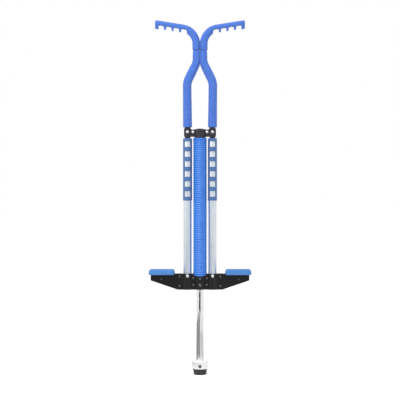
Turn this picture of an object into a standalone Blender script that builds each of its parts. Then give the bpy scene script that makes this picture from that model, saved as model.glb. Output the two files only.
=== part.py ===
"""Pogo stick: a sprung foot in a twin-tube frame, with steps and grip handles.

Metres, +Z up. X runs along the steps and the handlebars, and -Y is the front.
The origin is the middle of the rubber tip's lower face, with the foot fully out.
"""

import math

import bmesh
import bpy
import numpy as np
from mathutils import Matrix, Vector

MM = 0.001
GAP = 0.3 * MM  # clearance between neighbouring pieces
FRONT = -1.0
REAR = 1.0
SIDES = {"left": -1.0, "right": 1.0}
ROUND = 16  # sides of the larger turned pieces
RIDGE = 20  # sides of a pressed ridge, were it a whole cylinder
SMALL = 10  # sides of fasteners
HOLE = 8  # sides of fasteners' holes
PAST = 40 * MM  # how far a cutter runs past what it cuts

# Foot
TIP_BOTTOM_R = 18.0 * MM
TIP_TOP_R = 21.2 * MM
TIP_TOP_Z = 17.0 * MM
TIP_FLOOR_Z = 8.0 * MM
TIP_SPIGOT_R = 15.0 * MM
TIP_SPIGOT_Z = 34.0 * MM
COLLAR_R = 23.5 * MM
COLLAR_TOP_Z = 41.0 * MM
FOOT_BOLT_Z = 26.0 * MM
FOOT_BOLT_R = 2.5 * MM
FOOT_HEAD = (4.8 * MM, 3.2 * MM)  # radius and height, as of every head and nut
FOOT_NUT = (4.6 * MM, 3.8 * MM)
FOOT_BOLT_LENGTH = 52.6 * MM

# Piston and the spring above it
PISTON_R = 11.0 * MM
PISTON_WALL = 2.4 * MM
PISTON_TOP_Z = 434.0 * MM
GUIDE_HEAD_Z = 450.0 * MM
GUIDE_BOSS_R = 9.8 * MM
GUIDE_BOSS_HEIGHT = 6.0 * MM
GUIDE_SHANK = 34.0 * MM
STOP_R = 15.2 * MM
STOP_HEIGHT = 11.7 * MM
STOP_PIN_R = 1.5 * MM
STOP_PIN_HALF = 14.5 * MM
SPRING_TURNS = 16
SPRING_WIRE_R = 2.1 * MM
SPRING_MEAN_R = 13.0 * MM
SPRING_TOP_Z = 668.0 * MM
SPRING_SHUT_PITCH = 4.6 * MM

# Housing, its bushing and its cap
HOUSING_R = 17.5 * MM
HOUSING_WALL = 1.5 * MM
HOUSING_BOTTOM_Z = 297.6 * MM
HOUSING_TOP_Z = 690.0 * MM
SPIGOT_R = 12.9 * MM
BUSHING_TOP_Z = 312.0 * MM
BUSHING_FLANGE = 5.0 * MM
BUFFER_HEIGHT = 6.0 * MM
SEAT_THICKNESS = 3.4 * MM
SEAT_BORE_R = 6.0 * MM
CAP_R = 14.7 * MM
CAP_TOP_Z = 721.0 * MM
SLEEVE_R = 20.0 * MM
SLEEVE_TOP_Z = 693.0 * MM
SLEEVE_BOTTOM_Z = 289.0 * MM
SLEEVE_LIP = 7.0 * MM  # how much higher the sleeve's lower edge is at its sides

# Frame tubes and their window sleeves
TUBE_X = 36.6 * MM
TUBE_R = 12.0 * MM
TUBE_WALL = 1.2 * MM
TUBE_BOTTOM_Z = 250.0 * MM
TUBE_TOP_Z = 692.0 * MM
WINDOW_SLEEVE_R = 13.35 * MM
WINDOW_SLEEVE_BOTTOM_Z = 510.5 * MM
WINDOW_SIZE = (17.6 * MM, 16.4 * MM)
WINDOW_PITCH = 29.2 * MM
WINDOW_TOP_Z = 684.0 * MM
WINDOWS = 6

# Footrest: two pressed plates, and a tread folded out of each
PLATE_INNER_Y = 6.0 * MM
PLATE_THICKNESS = 2.0 * MM
PLATE_TOP_Z = 296.0 * MM
PLATE_BOTTOM_Z = 249.0 * MM
PLATE_HALF = 144.8 * MM
PLATE_END_Z = 276.0 * MM
PLATE_FOOT_HALF = 65.5 * MM
TREAD_START_X = 79.0 * MM
TREAD_Y = 27.0 * MM
BIG_BOLT_Z = 289.0 * MM
BIG_BOLT_R = 3.0 * MM
BIG_HEAD = (5.0 * MM, 3.4 * MM)
BIG_NUT = (5.6 * MM, 4.6 * MM)
RIVET_R = 2.0 * MM
RIVET_HEAD = (3.3 * MM, 1.7 * MM)
RIVET_SHOULDER_R = 4.0 * MM
RIVETS = [
    (20.0 * MM, 282.5 * MM),
    (20.0 * MM, 262.5 * MM),
    (60.0 * MM, 287.0 * MM),
    (60.0 * MM, 260.0 * MM),
    (113.0 * MM, 281.0 * MM),
]
SCREW_Z = (282.0 * MM, 262.5 * MM)
SCREW_R = 1.5 * MM
SCREW_HEAD = (3.6 * MM, 2.0 * MM)
SCREW_LENGTH = 3.2 * MM

# Step pads
PAD_START_X = 74.0 * MM
PAD_END_X = 150.5 * MM
PAD_Y = 31.0 * MM
PAD_BOTTOM_Z = 294.2 * MM
PAD_TOP_Z = 308.5 * MM
PAD_EDGE = 6.0 * MM
PEG_X = (92.0 * MM, 130.0 * MM)
PEG_Y = 18.0 * MM
PEG_R = 2.4 * MM
PEG_REACH = 5.0 * MM  # above and below the tread's top

# Upper bracket
BRACKET_INNER_Y = 5.0 * MM
BRACKET_BOTTOM_Z = 694.0 * MM
BRACKET_TOP_Z = 718.0 * MM
BRACKET_RIDGE_R = 17.0 * MM
LOBE_HALF = 10.5 * MM
LOBE_Z = (695.0 * MM, 725.0 * MM)
LOBE_CHAMFER = 5.0 * MM
WAIST_Z = (698.0 * MM, 717.0 * MM)
BRACKET_BOLT_Z = 711.0 * MM
BRACKET_BOLT_R = 2.5 * MM
BRACKET_HEAD = (4.7 * MM, 3.0 * MM)
BRACKET_NUT = (4.5 * MM, 3.8 * MM)
CENTRE_HALF = 15.6 * MM
BRACKET_BOLT_X = (20.6 * MM, TUBE_X)

# Handles: a bent tube, its socket, a foam sleeve and a finger grip
HANDLE_R = 5.5 * MM
HANDLE_WALL = 1.2 * MM
HANDLE_BOTTOM_Z = 642.0 * MM
HANDLE_LEAN_Z = 742.0 * MM  # upright below this
SOCKET_R = 8.0 * MM
SOCKET_BOTTOM_Z = 640.0 * MM
SOCKET_TOP_Z = 727.0 * MM
KNEE = (37.9 * MM, 858.3 * MM)
NECK_X = 9.9 * MM
NECK_START_Z = 915.4 * MM
BEND_R = 45.0 * MM
CROOK_Z = 971.0 * MM
CROOK_R = 50.3 * MM
BAR_SLOPE = math.radians(9.1)
BAR_END_X = 129.0 * MM
BAR_TOP = Vector((66.2 * MM, 0.0, 1030.4 * MM))  # a point on the bar's upper edge
FOAM_BOTTOM_Z = 725.5 * MM
FOAM_TOP_Z = 950.6 * MM
FOAM_RADII = [(725.0, 13.3), (830.0, 12.6), (885.0, 13.0), (925.0, 11.8), (946.0, 11.6), (951.0, 9.6)]
GRIP_BOTTOM_Z = 951.2 * MM
GRIP_NECK_X = 11.0 * MM
GRIP_CROOK_R = 46.4 * MM
GRIP_CROOK_Z = 970.6 * MM
GRIP_R = 10.8 * MM
GRIP_CROOK_FOAM_R = 11.4 * MM
GRIP_END_X = 132.0 * MM
GRIP_DEPTH = 25.2 * MM
FIN_START_X = 42.0 * MM
FIN_HALF_Y = 7.5 * MM
FINGER_X = [114.0 * MM, 91.8 * MM, 69.6 * MM, 47.4 * MM]
FINGER_HALF = 7.9 * MM
FINGER_CORNER = 4.5 * MM
FINGER_ROOF = 13.9 * MM  # from the bar's upper edge down to a finger gap's roof


def clear_scene():
    for obj in list(bpy.data.objects):
        bpy.data.objects.remove(obj, do_unlink=True)
    for collection in list(bpy.data.collections):
        bpy.data.collections.remove(collection)


def new_collection(name, hidden=False):
    collection = bpy.data.collections.new(name)
    bpy.context.scene.collection.children.link(collection)
    collection.hide_render = hidden
    return collection


clear_scene()
PARTS = new_collection("pogo_stick")
CUTTERS = new_collection("pogo_stick_cutters", hidden=True)


def finish(name, colour, roughness, metallic=0.0):
    """A Principled material of one colour."""
    material = bpy.data.materials.new(name)
    material.use_nodes = True
    shader = material.node_tree.nodes["Principled BSDF"]
    shader.inputs["Base Color"].default_value = (*colour, 1.0)
    shader.inputs["Roughness"].default_value = roughness
    shader.inputs["Metallic"].default_value = metallic
    return material


BLUE_FOAM = finish("blue_foam", (0.08, 0.22, 0.75), 0.75)
BLUE_PLASTIC = finish("blue_plastic", (0.07, 0.24, 0.78), 0.4)
PALE_BLUE_RUBBER = finish("pale_blue_rubber", (0.09, 0.30, 0.72), 0.6)
BLACK_PAINT = finish("black_paint", (0.02, 0.02, 0.025), 0.4)
BLACK_PLASTIC = finish("black_plastic", (0.02, 0.02, 0.02), 0.5)
BLACK_RUBBER = finish("black_rubber", (0.03, 0.03, 0.03), 0.8)
ALUMINIUM = finish("satin_aluminium", (0.75, 0.77, 0.80), 0.35, 1.0)
CHROME = finish("chrome", (0.85, 0.86, 0.88), 0.08, 1.0)
ZINC = finish("zinc_steel", (0.72, 0.73, 0.75), 0.3, 1.0)
DARK_STEEL = finish("dark_steel", (0.08, 0.08, 0.09), 0.4, 1.0)
NYLON = finish("white_nylon", (0.85, 0.84, 0.80), 0.5)
SPRING_STEEL = finish("spring_steel", (0.25, 0.25, 0.27), 0.35, 1.0)


def add_object(name, mesh, material=None):
    """A piece when it has a material, and a hidden cutter when it has none."""
    obj = bpy.data.objects.new(name, mesh)
    if material:
        mesh.materials.append(material)
        PARTS.objects.link(obj)
        mesh.shade_smooth()
        mesh.set_sharp_from_angle(angle=math.radians(35))
    else:
        CUTTERS.objects.link(obj)
        obj.hide_render = True
        obj.display_type = "WIRE"
    return obj


def mesh_from(name, build):
    """A mesh made by build(bm), in the object's own space."""
    bm = bmesh.new()
    build(bm)
    mesh = bpy.data.meshes.new(name)
    bm.to_mesh(mesh)
    bm.free()
    return mesh


def turned(name, profile, material, sides=ROUND, x=0.0):
    """A profile of (radius, height) turned about a vertical axis. One that
    starts off the axis is a closed outline, so it makes a ring."""
    mesh = bpy.data.meshes.new(name)
    count = len(profile)
    edges = [(i, i + 1) for i in range(count - 1)]
    if profile[0][0] > 0.0:
        edges.append((count - 1, 0))
    mesh.from_pydata([(radius, 0.0, height) for radius, height in profile], edges, [])
    obj = add_object(name, mesh, material)
    obj.location.x = x
    screw = obj.modifiers.new("turn", "SCREW")
    screw.steps = sides
    screw.render_steps = sides
    screw.use_merge_vertices = True
    screw.merge_threshold = 0.01 * MM
    screw.use_smooth_shade = True
    return obj


def cylinder(bm, radius, low, high, centre=(0.0, 0.0), sides=ROUND, along="Z"):
    """A closed cylinder. Its centre is (x, y) along Z, (x, z) along Y and (y, z) along X."""
    turn = {
        "Z": Matrix.Identity(4),
        "Y": Matrix.Rotation(math.radians(90), 4, "X"),
        "X": Matrix.Rotation(math.radians(90), 4, "Y"),
    }[along]
    middle = (low + high) / 2
    place = {
        "Z": (centre[0], centre[1], middle),
        "Y": (centre[0], middle, centre[1]),
        "X": (middle, centre[0], centre[1]),
    }[along]
    bmesh.ops.create_cone(
        bm,
        cap_ends=True,
        segments=sides,
        radius1=radius,
        radius2=radius,
        depth=high - low,
        matrix=Matrix.Translation(place) @ turn,
    )


def box(bm, low, high):
    """A closed box between two corners."""
    size = Vector(high) - Vector(low)
    middle = (Vector(high) + Vector(low)) / 2
    place = Matrix.Translation(middle) @ Matrix.Diagonal((*size, 1.0))
    bmesh.ops.create_cube(bm, size=1.0, matrix=place)


def carve(obj, cutter, operation="DIFFERENCE"):
    """A live Boolean of obj with a cutter object."""
    modifier = obj.modifiers.new(cutter.name, "BOOLEAN")
    modifier.operation = operation
    modifier.object = cutter


def cutter_from(name, build):
    return add_object(name, mesh_from(name, build))


def mesh_of_curve(name, curve, material, turn=None):
    """A curve made a mesh, with its caps welded on."""
    guide = bpy.data.objects.new(name + "_guide", curve)
    CUTTERS.objects.link(guide)
    bpy.context.view_layer.update()
    evaluated = guide.evaluated_get(bpy.context.evaluated_depsgraph_get())
    mesh = bpy.data.meshes.new_from_object(evaluated)
    mesh.name = name
    mesh.materials.clear()
    bpy.data.objects.remove(guide)
    bpy.data.curves.remove(curve)
    bm = bmesh.new()
    bm.from_mesh(mesh)
    bmesh.ops.remove_doubles(bm, verts=bm.verts, dist=0.001 * MM)
    bmesh.ops.recalc_face_normals(bm, faces=bm.faces)
    if turn:
        bmesh.ops.transform(bm, matrix=turn, verts=bm.verts)
    bm.to_mesh(mesh)
    bm.free()
    return add_object(name, mesh, material)


def swept(name, points, radii, material, resolution=3):
    """A round bar along points, with a radius at each of them."""
    curve = bpy.data.curves.new(name, "CURVE")
    curve.dimensions = "3D"
    curve.bevel_depth = 1.0
    curve.bevel_resolution = resolution
    curve.use_fill_caps = True
    spline = curve.splines.new("POLY")
    spline.points.add(len(points) - 1)
    for spot, point, radius in zip(spline.points, points, radii):
        spot.co = (*point, 1.0)
        spot.radius = radius
    return mesh_of_curve(name, curve, material)


def flat_plate(name, outline, side, inner_y, thickness, material):
    """An outline of (x, z) points as a plate standing in the XZ plane, on one side of y = 0."""
    curve = bpy.data.curves.new(name, "CURVE")
    curve.dimensions = "2D"
    curve.fill_mode = "BOTH"
    curve.extrude = thickness / 2
    spline = curve.splines.new("POLY")
    spline.points.add(len(outline) - 1)
    for spot, (x, z) in zip(spline.points, outline):
        spot.co = (x, z, 0.0, 1.0)
    spline.use_cyclic_u = True
    stand = Matrix.Rotation(math.radians(90), 4, "X")
    place = Matrix.Translation((0.0, side * (inner_y + thickness / 2), 0.0))
    return mesh_of_curve(name, curve, material, place @ stand)


def mirrored_outline(right_half):
    """A closed outline from its right half, which runs from the bottom to the top."""
    return right_half + [(-x, z) for x, z in reversed(right_half)]


def dome(radius, height, base, steps=2):
    """(radius, height) points from the crown of a domed head down to its rim."""
    angles = [math.radians(90) * i / steps for i in range(steps + 1)]
    return [(radius * math.sin(a), base + height * math.cos(a)) for a in angles]


def lay_along_y(obj, x, y, z, side):
    """Turns a fastener made upright, so that its head faces front or rear."""
    obj.rotation_euler.x = math.radians(90) if side == FRONT else math.radians(-90)
    obj.location = (x, y, z)


# Foot --------------------------------------------------------------------


def foot_bolt_hole(bm):
    cylinder(bm, FOOT_BOLT_R + GAP, -PAST, PAST, (0.0, FOOT_BOLT_Z), HOLE, "Y")


def make_foot():
    """The rubber tip, the chromed collar that clamps it, and their cross bolt."""
    hole = cutter_from("foot_bolt_hole", foot_bolt_hole)
    tip = turned(
        "rubber_tip",
        [
            (0.0, TIP_FLOOR_Z),
            (PISTON_R + GAP, TIP_FLOOR_Z),
            (PISTON_R + GAP, TIP_SPIGOT_Z),
            (TIP_SPIGOT_R, TIP_SPIGOT_Z),
            (TIP_SPIGOT_R, TIP_TOP_Z),
            (TIP_TOP_R, TIP_TOP_Z),
            (TIP_BOTTOM_R + 0.7 * MM, 2 * MM),
            (TIP_BOTTOM_R - 1 * MM, 0.0),
            (0.0, 0.0),
        ],
        BLACK_RUBBER,
    )
    edge = 1.2 * MM
    bottom = TIP_TOP_Z + GAP
    step = TIP_SPIGOT_Z + GAP
    collar = turned(
        "foot_collar",
        [
            (COLLAR_R - edge, COLLAR_TOP_Z),
            (COLLAR_R, COLLAR_TOP_Z - edge),
            (COLLAR_R, bottom + edge),
            (COLLAR_R - edge, bottom),
            (TIP_SPIGOT_R + GAP, bottom),
            (TIP_SPIGOT_R + GAP, step),
            (PISTON_R + GAP, step),
            (PISTON_R + GAP, COLLAR_TOP_Z),
        ],
        CHROME,
        sides=24,
    )
    bolt = turned(
        "foot_bolt",
        bolt_profile(FOOT_HEAD, FOOT_BOLT_R, FOOT_BOLT_LENGTH),
        DARK_STEEL,
        sides=SMALL,
    )
    seat = COLLAR_R + GAP
    lay_along_y(bolt, 0.0, -seat, FOOT_BOLT_Z, FRONT)
    nut = turned("foot_nut", nut_profile(FOOT_NUT, FOOT_BOLT_R), DARK_STEEL, sides=6)
    lay_along_y(nut, 0.0, seat, FOOT_BOLT_Z, REAR)
    return tip, collar, hole


def bolt_profile(head, bolt_r, length):
    """A domed head on height 0 and the shaft below it."""
    radius, height = head
    return dome(radius, height, 0.0) + [(bolt_r, 0.0), (bolt_r, -length), (0.0, -length)]


def nut_profile(size, bolt_r):
    """A ring of six sides, for a nut with its lower face at height 0."""
    radius, height = size
    bore = (bolt_r + GAP) / math.cos(math.radians(30))
    return [(radius, height), (radius, 0.0), (bore, 0.0), (bore, height)]


def make_piston(hole):
    """The piston tube, its top guide, and the stop collar with its pin."""
    bore = PISTON_R - PISTON_WALL
    piston = turned(
        "piston_tube",
        [
            (PISTON_R, PISTON_TOP_Z),
            (PISTON_R, TIP_FLOOR_Z + GAP),
            (bore, TIP_FLOOR_Z + GAP),
            (bore, PISTON_TOP_Z),
        ],
        CHROME,
    )
    carve(piston, hole)
    guide_r = HOUSING_R - HOUSING_WALL - 0.5 * MM
    chamfer = 1 * MM
    boss_top = GUIDE_HEAD_Z + GUIDE_BOSS_HEIGHT
    shank_end = PISTON_TOP_Z - GUIDE_SHANK
    turned(
        "piston_top_guide",
        [
            (0.0, boss_top),
            (GUIDE_BOSS_R - chamfer, boss_top),
            (GUIDE_BOSS_R, boss_top - chamfer),
            (GUIDE_BOSS_R, GUIDE_HEAD_Z),
            (guide_r, GUIDE_HEAD_Z),
            (guide_r, PISTON_TOP_Z + GAP),
            (bore - GAP, PISTON_TOP_Z + GAP),
            (bore - GAP, shank_end),
            (0.0, shank_end),
        ],
        NYLON,
    )
    stop_low = BUSHING_TOP_Z + BUFFER_HEIGHT + GAP
    stop_high = stop_low + STOP_HEIGHT
    stop = turned(
        "stop_collar",
        [
            (STOP_R, stop_high),
            (STOP_R, stop_low),
            (PISTON_R + GAP, stop_low),
            (PISTON_R + GAP, stop_high),
        ],
        ZINC,
    )
    pin_z = (stop_low + stop_high) / 2
    pin_hole = cutter_from(
        "stop_pin_hole",
        lambda bm: cylinder(bm, STOP_PIN_R + GAP, -PAST, PAST, (0.0, pin_z), HOLE, "X"),
    )
    carve(piston, pin_hole)
    carve(stop, pin_hole)
    pin = mesh_from(
        "stop_pin",
        lambda bm: cylinder(bm, STOP_PIN_R, -STOP_PIN_HALF, STOP_PIN_HALF, (0.0, pin_z), HOLE, "X"),
    )
    add_object("stop_pin", pin, DARK_STEEL)


def make_spring():
    """A coil with shut ends, between the piston's guide and the upper seat."""
    low = GUIDE_HEAD_Z + GAP + SPRING_WIRE_R
    high = SPRING_TOP_Z - SPRING_WIRE_R
    open_turns = SPRING_TURNS - 2
    open_pitch = (high - low - 2 * SPRING_SHUT_PITCH) / open_turns
    steps_per_turn = 8
    points = []
    for step in range(SPRING_TURNS * steps_per_turn + 1):
        turn = step / steps_per_turn
        shut = min(turn, 1.0) + max(turn - 1.0 - open_turns, 0.0)
        opened = min(max(turn - 1.0, 0.0), open_turns)
        height = low + shut * SPRING_SHUT_PITCH + opened * open_pitch
        angle = 2 * math.pi * turn
        points.append((SPRING_MEAN_R * math.cos(angle), SPRING_MEAN_R * math.sin(angle), height))
    swept("spring", points, [SPRING_WIRE_R] * len(points), SPRING_STEEL, resolution=2)


# Housing -----------------------------------------------------------------


def make_housing():
    """The tube that the spring works in, with its bushing, buffer, seat and cap."""
    bore = HOUSING_R - HOUSING_WALL
    turned(
        "spring_housing",
        [
            (HOUSING_R, HOUSING_TOP_Z),
            (HOUSING_R, HOUSING_BOTTOM_Z),
            (bore, HOUSING_BOTTOM_Z),
            (bore, HOUSING_TOP_Z),
        ],
        ZINC,
    )
    slide = PISTON_R + GAP
    bushing = turned(
        "lower_bushing",
        [
            (bore - GAP, BUSHING_TOP_Z),
            (bore - GAP, HOUSING_BOTTOM_Z - GAP),
            (HOUSING_R, HOUSING_BOTTOM_Z - GAP),
            (HOUSING_R, HOUSING_BOTTOM_Z - BUSHING_FLANGE),
            (SPIGOT_R, HOUSING_BOTTOM_Z - BUSHING_FLANGE),
            (SPIGOT_R, TUBE_BOTTOM_Z),
            (slide, TUBE_BOTTOM_Z),
            (slide, BUSHING_TOP_Z),
        ],
        NYLON,
    )
    turned(
        "rebound_buffer",
        [
            (bore - 2 * GAP, BUSHING_TOP_Z + BUFFER_HEIGHT),
            (bore - 2 * GAP, BUSHING_TOP_Z + GAP),
            (slide + GAP, BUSHING_TOP_Z + GAP),
            (slide + GAP, BUSHING_TOP_Z + BUFFER_HEIGHT),
        ],
        BLACK_RUBBER,
    )
    seat_low = SPRING_TOP_Z + GAP
    seat_high = seat_low + SEAT_THICKNESS
    turned(
        "upper_spring_seat",
        [
            (bore - 2 * GAP, seat_high),
            (bore - 2 * GAP, seat_low),
            (SEAT_BORE_R, seat_low),
            (SEAT_BORE_R, seat_high),
        ],
        ZINC,
    )
    flange_low = HOUSING_TOP_Z + GAP
    flange_high = BRACKET_BOTTOM_Z - 0.5 * MM
    shoulder = BRACKET_TOP_Z - 1 * MM
    turned(
        "housing_cap",
        dome(CAP_R, CAP_TOP_Z - shoulder, shoulder)
        + [
            (CAP_R, flange_high),
            (HOUSING_R, flange_high),
            (HOUSING_R, flange_low),
            (bore - GAP, flange_low),
            (bore - GAP, seat_high + GAP),
            (0.0, seat_high + GAP),
        ],
        BLACK_PLASTIC,
    )
    return bushing


def lip_shape(bm, width, depth):
    """A bar along Y whose section is an ellipse: its lower half is the sleeve's lower lip."""
    squash = Matrix.Diagonal((1.0, 1.0, depth / width, 1.0))
    lift = Matrix.Translation((0.0, 0.0, SLEEVE_BOTTOM_Z + SLEEVE_LIP))
    before = set(bm.verts)
    cylinder(bm, width, -PAST, PAST, sides=24, along="Y")
    made = [vert for vert in bm.verts if vert not in before]
    bmesh.ops.transform(bm, matrix=lift @ squash, verts=made)


def make_sleeve():
    """The cover over the housing, with its lower edge rounded as seen from the front."""
    bore = HOUSING_R + GAP
    sleeve = turned(
        "ribbed_sleeve",
        [
            (SLEEVE_R, SLEEVE_TOP_Z),
            (SLEEVE_R, SLEEVE_BOTTOM_Z),
            (bore, SLEEVE_BOTTOM_Z),
            (bore, SLEEVE_TOP_Z),
        ],
        BLUE_PLASTIC,
        sides=24,
    )
    below = SLEEVE_BOTTOM_Z - PAST
    side_z = SLEEVE_BOTTOM_Z + SLEEVE_LIP
    reach = SLEEVE_R + PAST / 2
    trim = cutter_from(
        "sleeve_trim",
        lambda bm: box(bm, (-reach, -reach, below), (reach, reach, side_z)),
    )
    lip = cutter_from(
        "sleeve_lip",
        lambda bm: lip_shape(bm, SLEEVE_R + GAP, SLEEVE_LIP),
    )
    carve(trim, lip)
    carve(sleeve, trim)


# Frame tubes -------------------------------------------------------------


def window_cutters(bm, x):
    half_w = WINDOW_SIZE[0] / 2
    for index in range(WINDOWS):
        top = WINDOW_TOP_Z - index * WINDOW_PITCH
        box(bm, (x - half_w, -PAST, top - WINDOW_SIZE[1]), (x + half_w, PAST, top))


def make_frame_tube(side_name, side, bolt_holes):
    """One frame tube, and the windowed sleeve over its upper part."""
    x = side * TUBE_X
    bore = TUBE_R - TUBE_WALL
    tube = turned(
        "frame_tube_" + side_name,
        [
            (TUBE_R, TUBE_TOP_Z),
            (TUBE_R, TUBE_BOTTOM_Z),
            (bore, TUBE_BOTTOM_Z),
            (bore, TUBE_TOP_Z),
        ],
        ALUMINIUM,
        x=x,
    )
    carve(tube, bolt_holes)
    sleeve = turned(
        "window_sleeve_" + side_name,
        [
            (WINDOW_SLEEVE_R, TUBE_TOP_Z),
            (WINDOW_SLEEVE_R, WINDOW_SLEEVE_BOTTOM_Z),
            (TUBE_R + GAP / 2, WINDOW_SLEEVE_BOTTOM_Z),
            (TUBE_R + GAP / 2, TUBE_TOP_Z),
        ],
        BLUE_PLASTIC,
        x=x,
    )
    windows = cutter_from("windows_" + side_name, lambda bm: window_cutters(bm, x))
    carve(sleeve, windows)


# Footrest ----------------------------------------------------------------


def footrest_outline():
    return mirrored_outline(
        [
            (PLATE_FOOT_HALF, PLATE_BOTTOM_Z),
            (PLATE_HALF, PLATE_END_Z),
            (PLATE_HALF, PLATE_TOP_Z),
        ]
    )


def footrest_forms(bm, side):
    """The pressed ridges before they are hollowed, and the folded treads."""
    low = PLATE_BOTTOM_Z
    high = PLATE_TOP_Z
    wall = PLATE_THICKNESS + GAP
    for x, radius in ((-TUBE_X, TUBE_R), (0.0, SPIGOT_R), (TUBE_X, TUBE_R)):
        cylinder(bm, radius + wall, low, high, (x, 0.0), RIDGE)
    inner = PLATE_INNER_Y + PLATE_THICKNESS / 2
    for hand in SIDES.values():
        xs = sorted((hand * TREAD_START_X, hand * PLATE_HALF))
        ys = sorted((side * inner, side * TREAD_Y))
        box(bm, (xs[0], ys[0], high - PLATE_THICKNESS), (xs[1], ys[1], high))


def footrest_bores(bm):
    low = PLATE_BOTTOM_Z - PAST
    high = PLATE_TOP_Z + PAST
    for x, radius in ((-TUBE_X, TUBE_R), (0.0, SPIGOT_R), (TUBE_X, TUBE_R)):
        cylinder(bm, radius + GAP, low, high, (x, 0.0), RIDGE)


def footrest_holes(bm):
    """Holes for the rivets, the screws and the pads' pegs."""
    for hand in SIDES.values():
        for x, z in RIVETS:
            cylinder(bm, RIVET_R + GAP, -PAST, PAST, (hand * x, z), HOLE, "Y")
        for x in PEG_X:
            for y in (-PEG_Y, PEG_Y):
                low = PLATE_TOP_Z - PEG_REACH
                high = PLATE_TOP_Z + PEG_REACH
                cylinder(bm, PEG_R + GAP, low, high, (hand * x, y), HOLE)
    for z in SCREW_Z:
        cylinder(bm, SCREW_R + GAP, -PAST, PAST, (0.0, z), HOLE, "Y")


def make_footrest(name, side, bolt_holes):
    """One of the two pressed plates that clamp the tubes and the bushing."""
    plate = flat_plate(
        name, footrest_outline(), side, PLATE_INNER_Y, PLATE_THICKNESS, BLACK_PAINT
    )
    forms = cutter_from(name + "_forms", lambda bm: footrest_forms(bm, side))
    carve(plate, forms, "UNION")
    bores = cutter_from(name + "_bores", footrest_bores)
    carve(plate, bores)
    beyond = sorted((side * PLATE_INNER_Y, -side * PAST))
    reach = PLATE_HALF + PAST
    low = PLATE_BOTTOM_Z - PAST
    high = PLATE_TOP_Z + PAST
    back = cutter_from(
        name + "_back",
        lambda bm: box(bm, (-reach, beyond[0], low), (reach, beyond[1], high)),
    )
    carve(plate, back)
    holes = cutter_from(name + "_holes", footrest_holes)
    carve(plate, holes)
    carve(plate, bolt_holes)
    scoop = cutter_from(
        name + "_scoop",
        lambda bm: lip_shape(bm, SLEEVE_R + 0.8 * MM, SLEEVE_LIP + 0.5 * MM),
    )
    carve(plate, scoop)


def make_rivets():
    """Shouldered rivets: the shoulder between the heads spaces the two plates."""
    outer = PLATE_INNER_Y + PLATE_THICKNESS + GAP
    inner = PLATE_INNER_Y - GAP
    half = dome(*RIVET_HEAD, outer) + [(RIVET_R, outer), (RIVET_R, inner), (RIVET_SHOULDER_R, inner)]
    profile = half + [(radius, -height) for radius, height in reversed(half)]
    for side_name, side in SIDES.items():
        for index, (x, z) in enumerate(RIVETS):
            rivet = turned(f"footrest_rivet_{side_name}_{index + 1}", profile, DARK_STEEL, SMALL)
            lay_along_y(rivet, side * x, 0.0, z, FRONT)


def make_screws():
    """Short screws that hold the plates to the bushing."""
    seat = SPIGOT_R + PLATE_THICKNESS + 2 * GAP
    profile = bolt_profile(SCREW_HEAD, SCREW_R, SCREW_LENGTH)
    for face_name, face in (("front", FRONT), ("rear", REAR)):
        for index, z in enumerate(SCREW_Z):
            if face == REAR and index == 1:
                continue  # one screw is enough at the rear
            screw = turned(f"bushing_screw_{face_name}_{index + 1}", profile, ZINC, SMALL)
            lay_along_y(screw, 0.0, face * seat, z, face)


def screw_pockets(bm):
    """Blind holes in the bushing for the screws' ends."""
    depth = SPIGOT_R - 1.2 * MM
    for z in SCREW_Z:
        for low, high in ((-PAST, -depth), (depth, PAST)):
            cylinder(bm, SCREW_R + GAP, low, high, (0.0, z), HOLE, "Y")


def make_big_bolt(side_name, side):
    """A domed bolt through a frame tube and both plates, with its nut."""
    seat = TUBE_R + PLATE_THICKNESS + 2 * GAP
    length = 2 * seat + BIG_NUT[1] + 1.4 * MM
    profile = bolt_profile(BIG_HEAD, BIG_BOLT_R, length)
    bolt = turned("footrest_bolt_" + side_name, profile, ZINC, SMALL)
    lay_along_y(bolt, side * TUBE_X, -seat, BIG_BOLT_Z, FRONT)
    nut = turned("footrest_nut_" + side_name, nut_profile(BIG_NUT, BIG_BOLT_R), ZINC, 6)
    lay_along_y(nut, side * TUBE_X, seat, BIG_BOLT_Z, REAR)


def big_bolt_holes(bm):
    for side in SIDES.values():
        cylinder(bm, BIG_BOLT_R + GAP, -PAST, PAST, (side * TUBE_X, BIG_BOLT_Z), HOLE, "Y")


def pad_pocket(bm, side):
    xs = sorted((side * (PAD_START_X - PAST), side * (PLATE_HALF + 4 * GAP)))
    half_y = TREAD_Y + 1.5 * GAP
    low = PAD_BOTTOM_Z - PAST
    box(bm, (xs[0], -half_y, low), (xs[1], half_y, PLATE_TOP_Z + GAP))


def pad_pegs(bm, side):
    for x in PEG_X:
        for y in (-PEG_Y, PEG_Y):
            low = PLATE_TOP_Z - PEG_REACH
            high = PLATE_TOP_Z + PEG_REACH
            cylinder(bm, PEG_R, low, high, (side * x, y), HOLE)


def make_step_pad(side_name, side):
    """A moulded pad that hugs the folded treads from above."""
    name = "step_pad_" + side_name
    xs = sorted((side * PAD_START_X, side * PAD_END_X))
    mesh = mesh_from(
        name, lambda bm: box(bm, (xs[0], -PAD_Y, PAD_BOTTOM_Z), (xs[1], PAD_Y, PAD_TOP_Z))
    )
    pad = add_object(name, mesh, PALE_BLUE_RUBBER)
    pocket = cutter_from(name + "_pocket", lambda bm: pad_pocket(bm, side))
    rounding = pad.modifiers.new("round", "BEVEL")
    rounding.width = PAD_EDGE
    rounding.segments = 3
    rounding.limit_method = "ANGLE"
    carve(pad, pocket)
    pegs = cutter_from(name + "_pegs", lambda bm: pad_pegs(bm, side))
    carve(pad, pegs, "UNION")


# Upper bracket -----------------------------------------------------------


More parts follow.
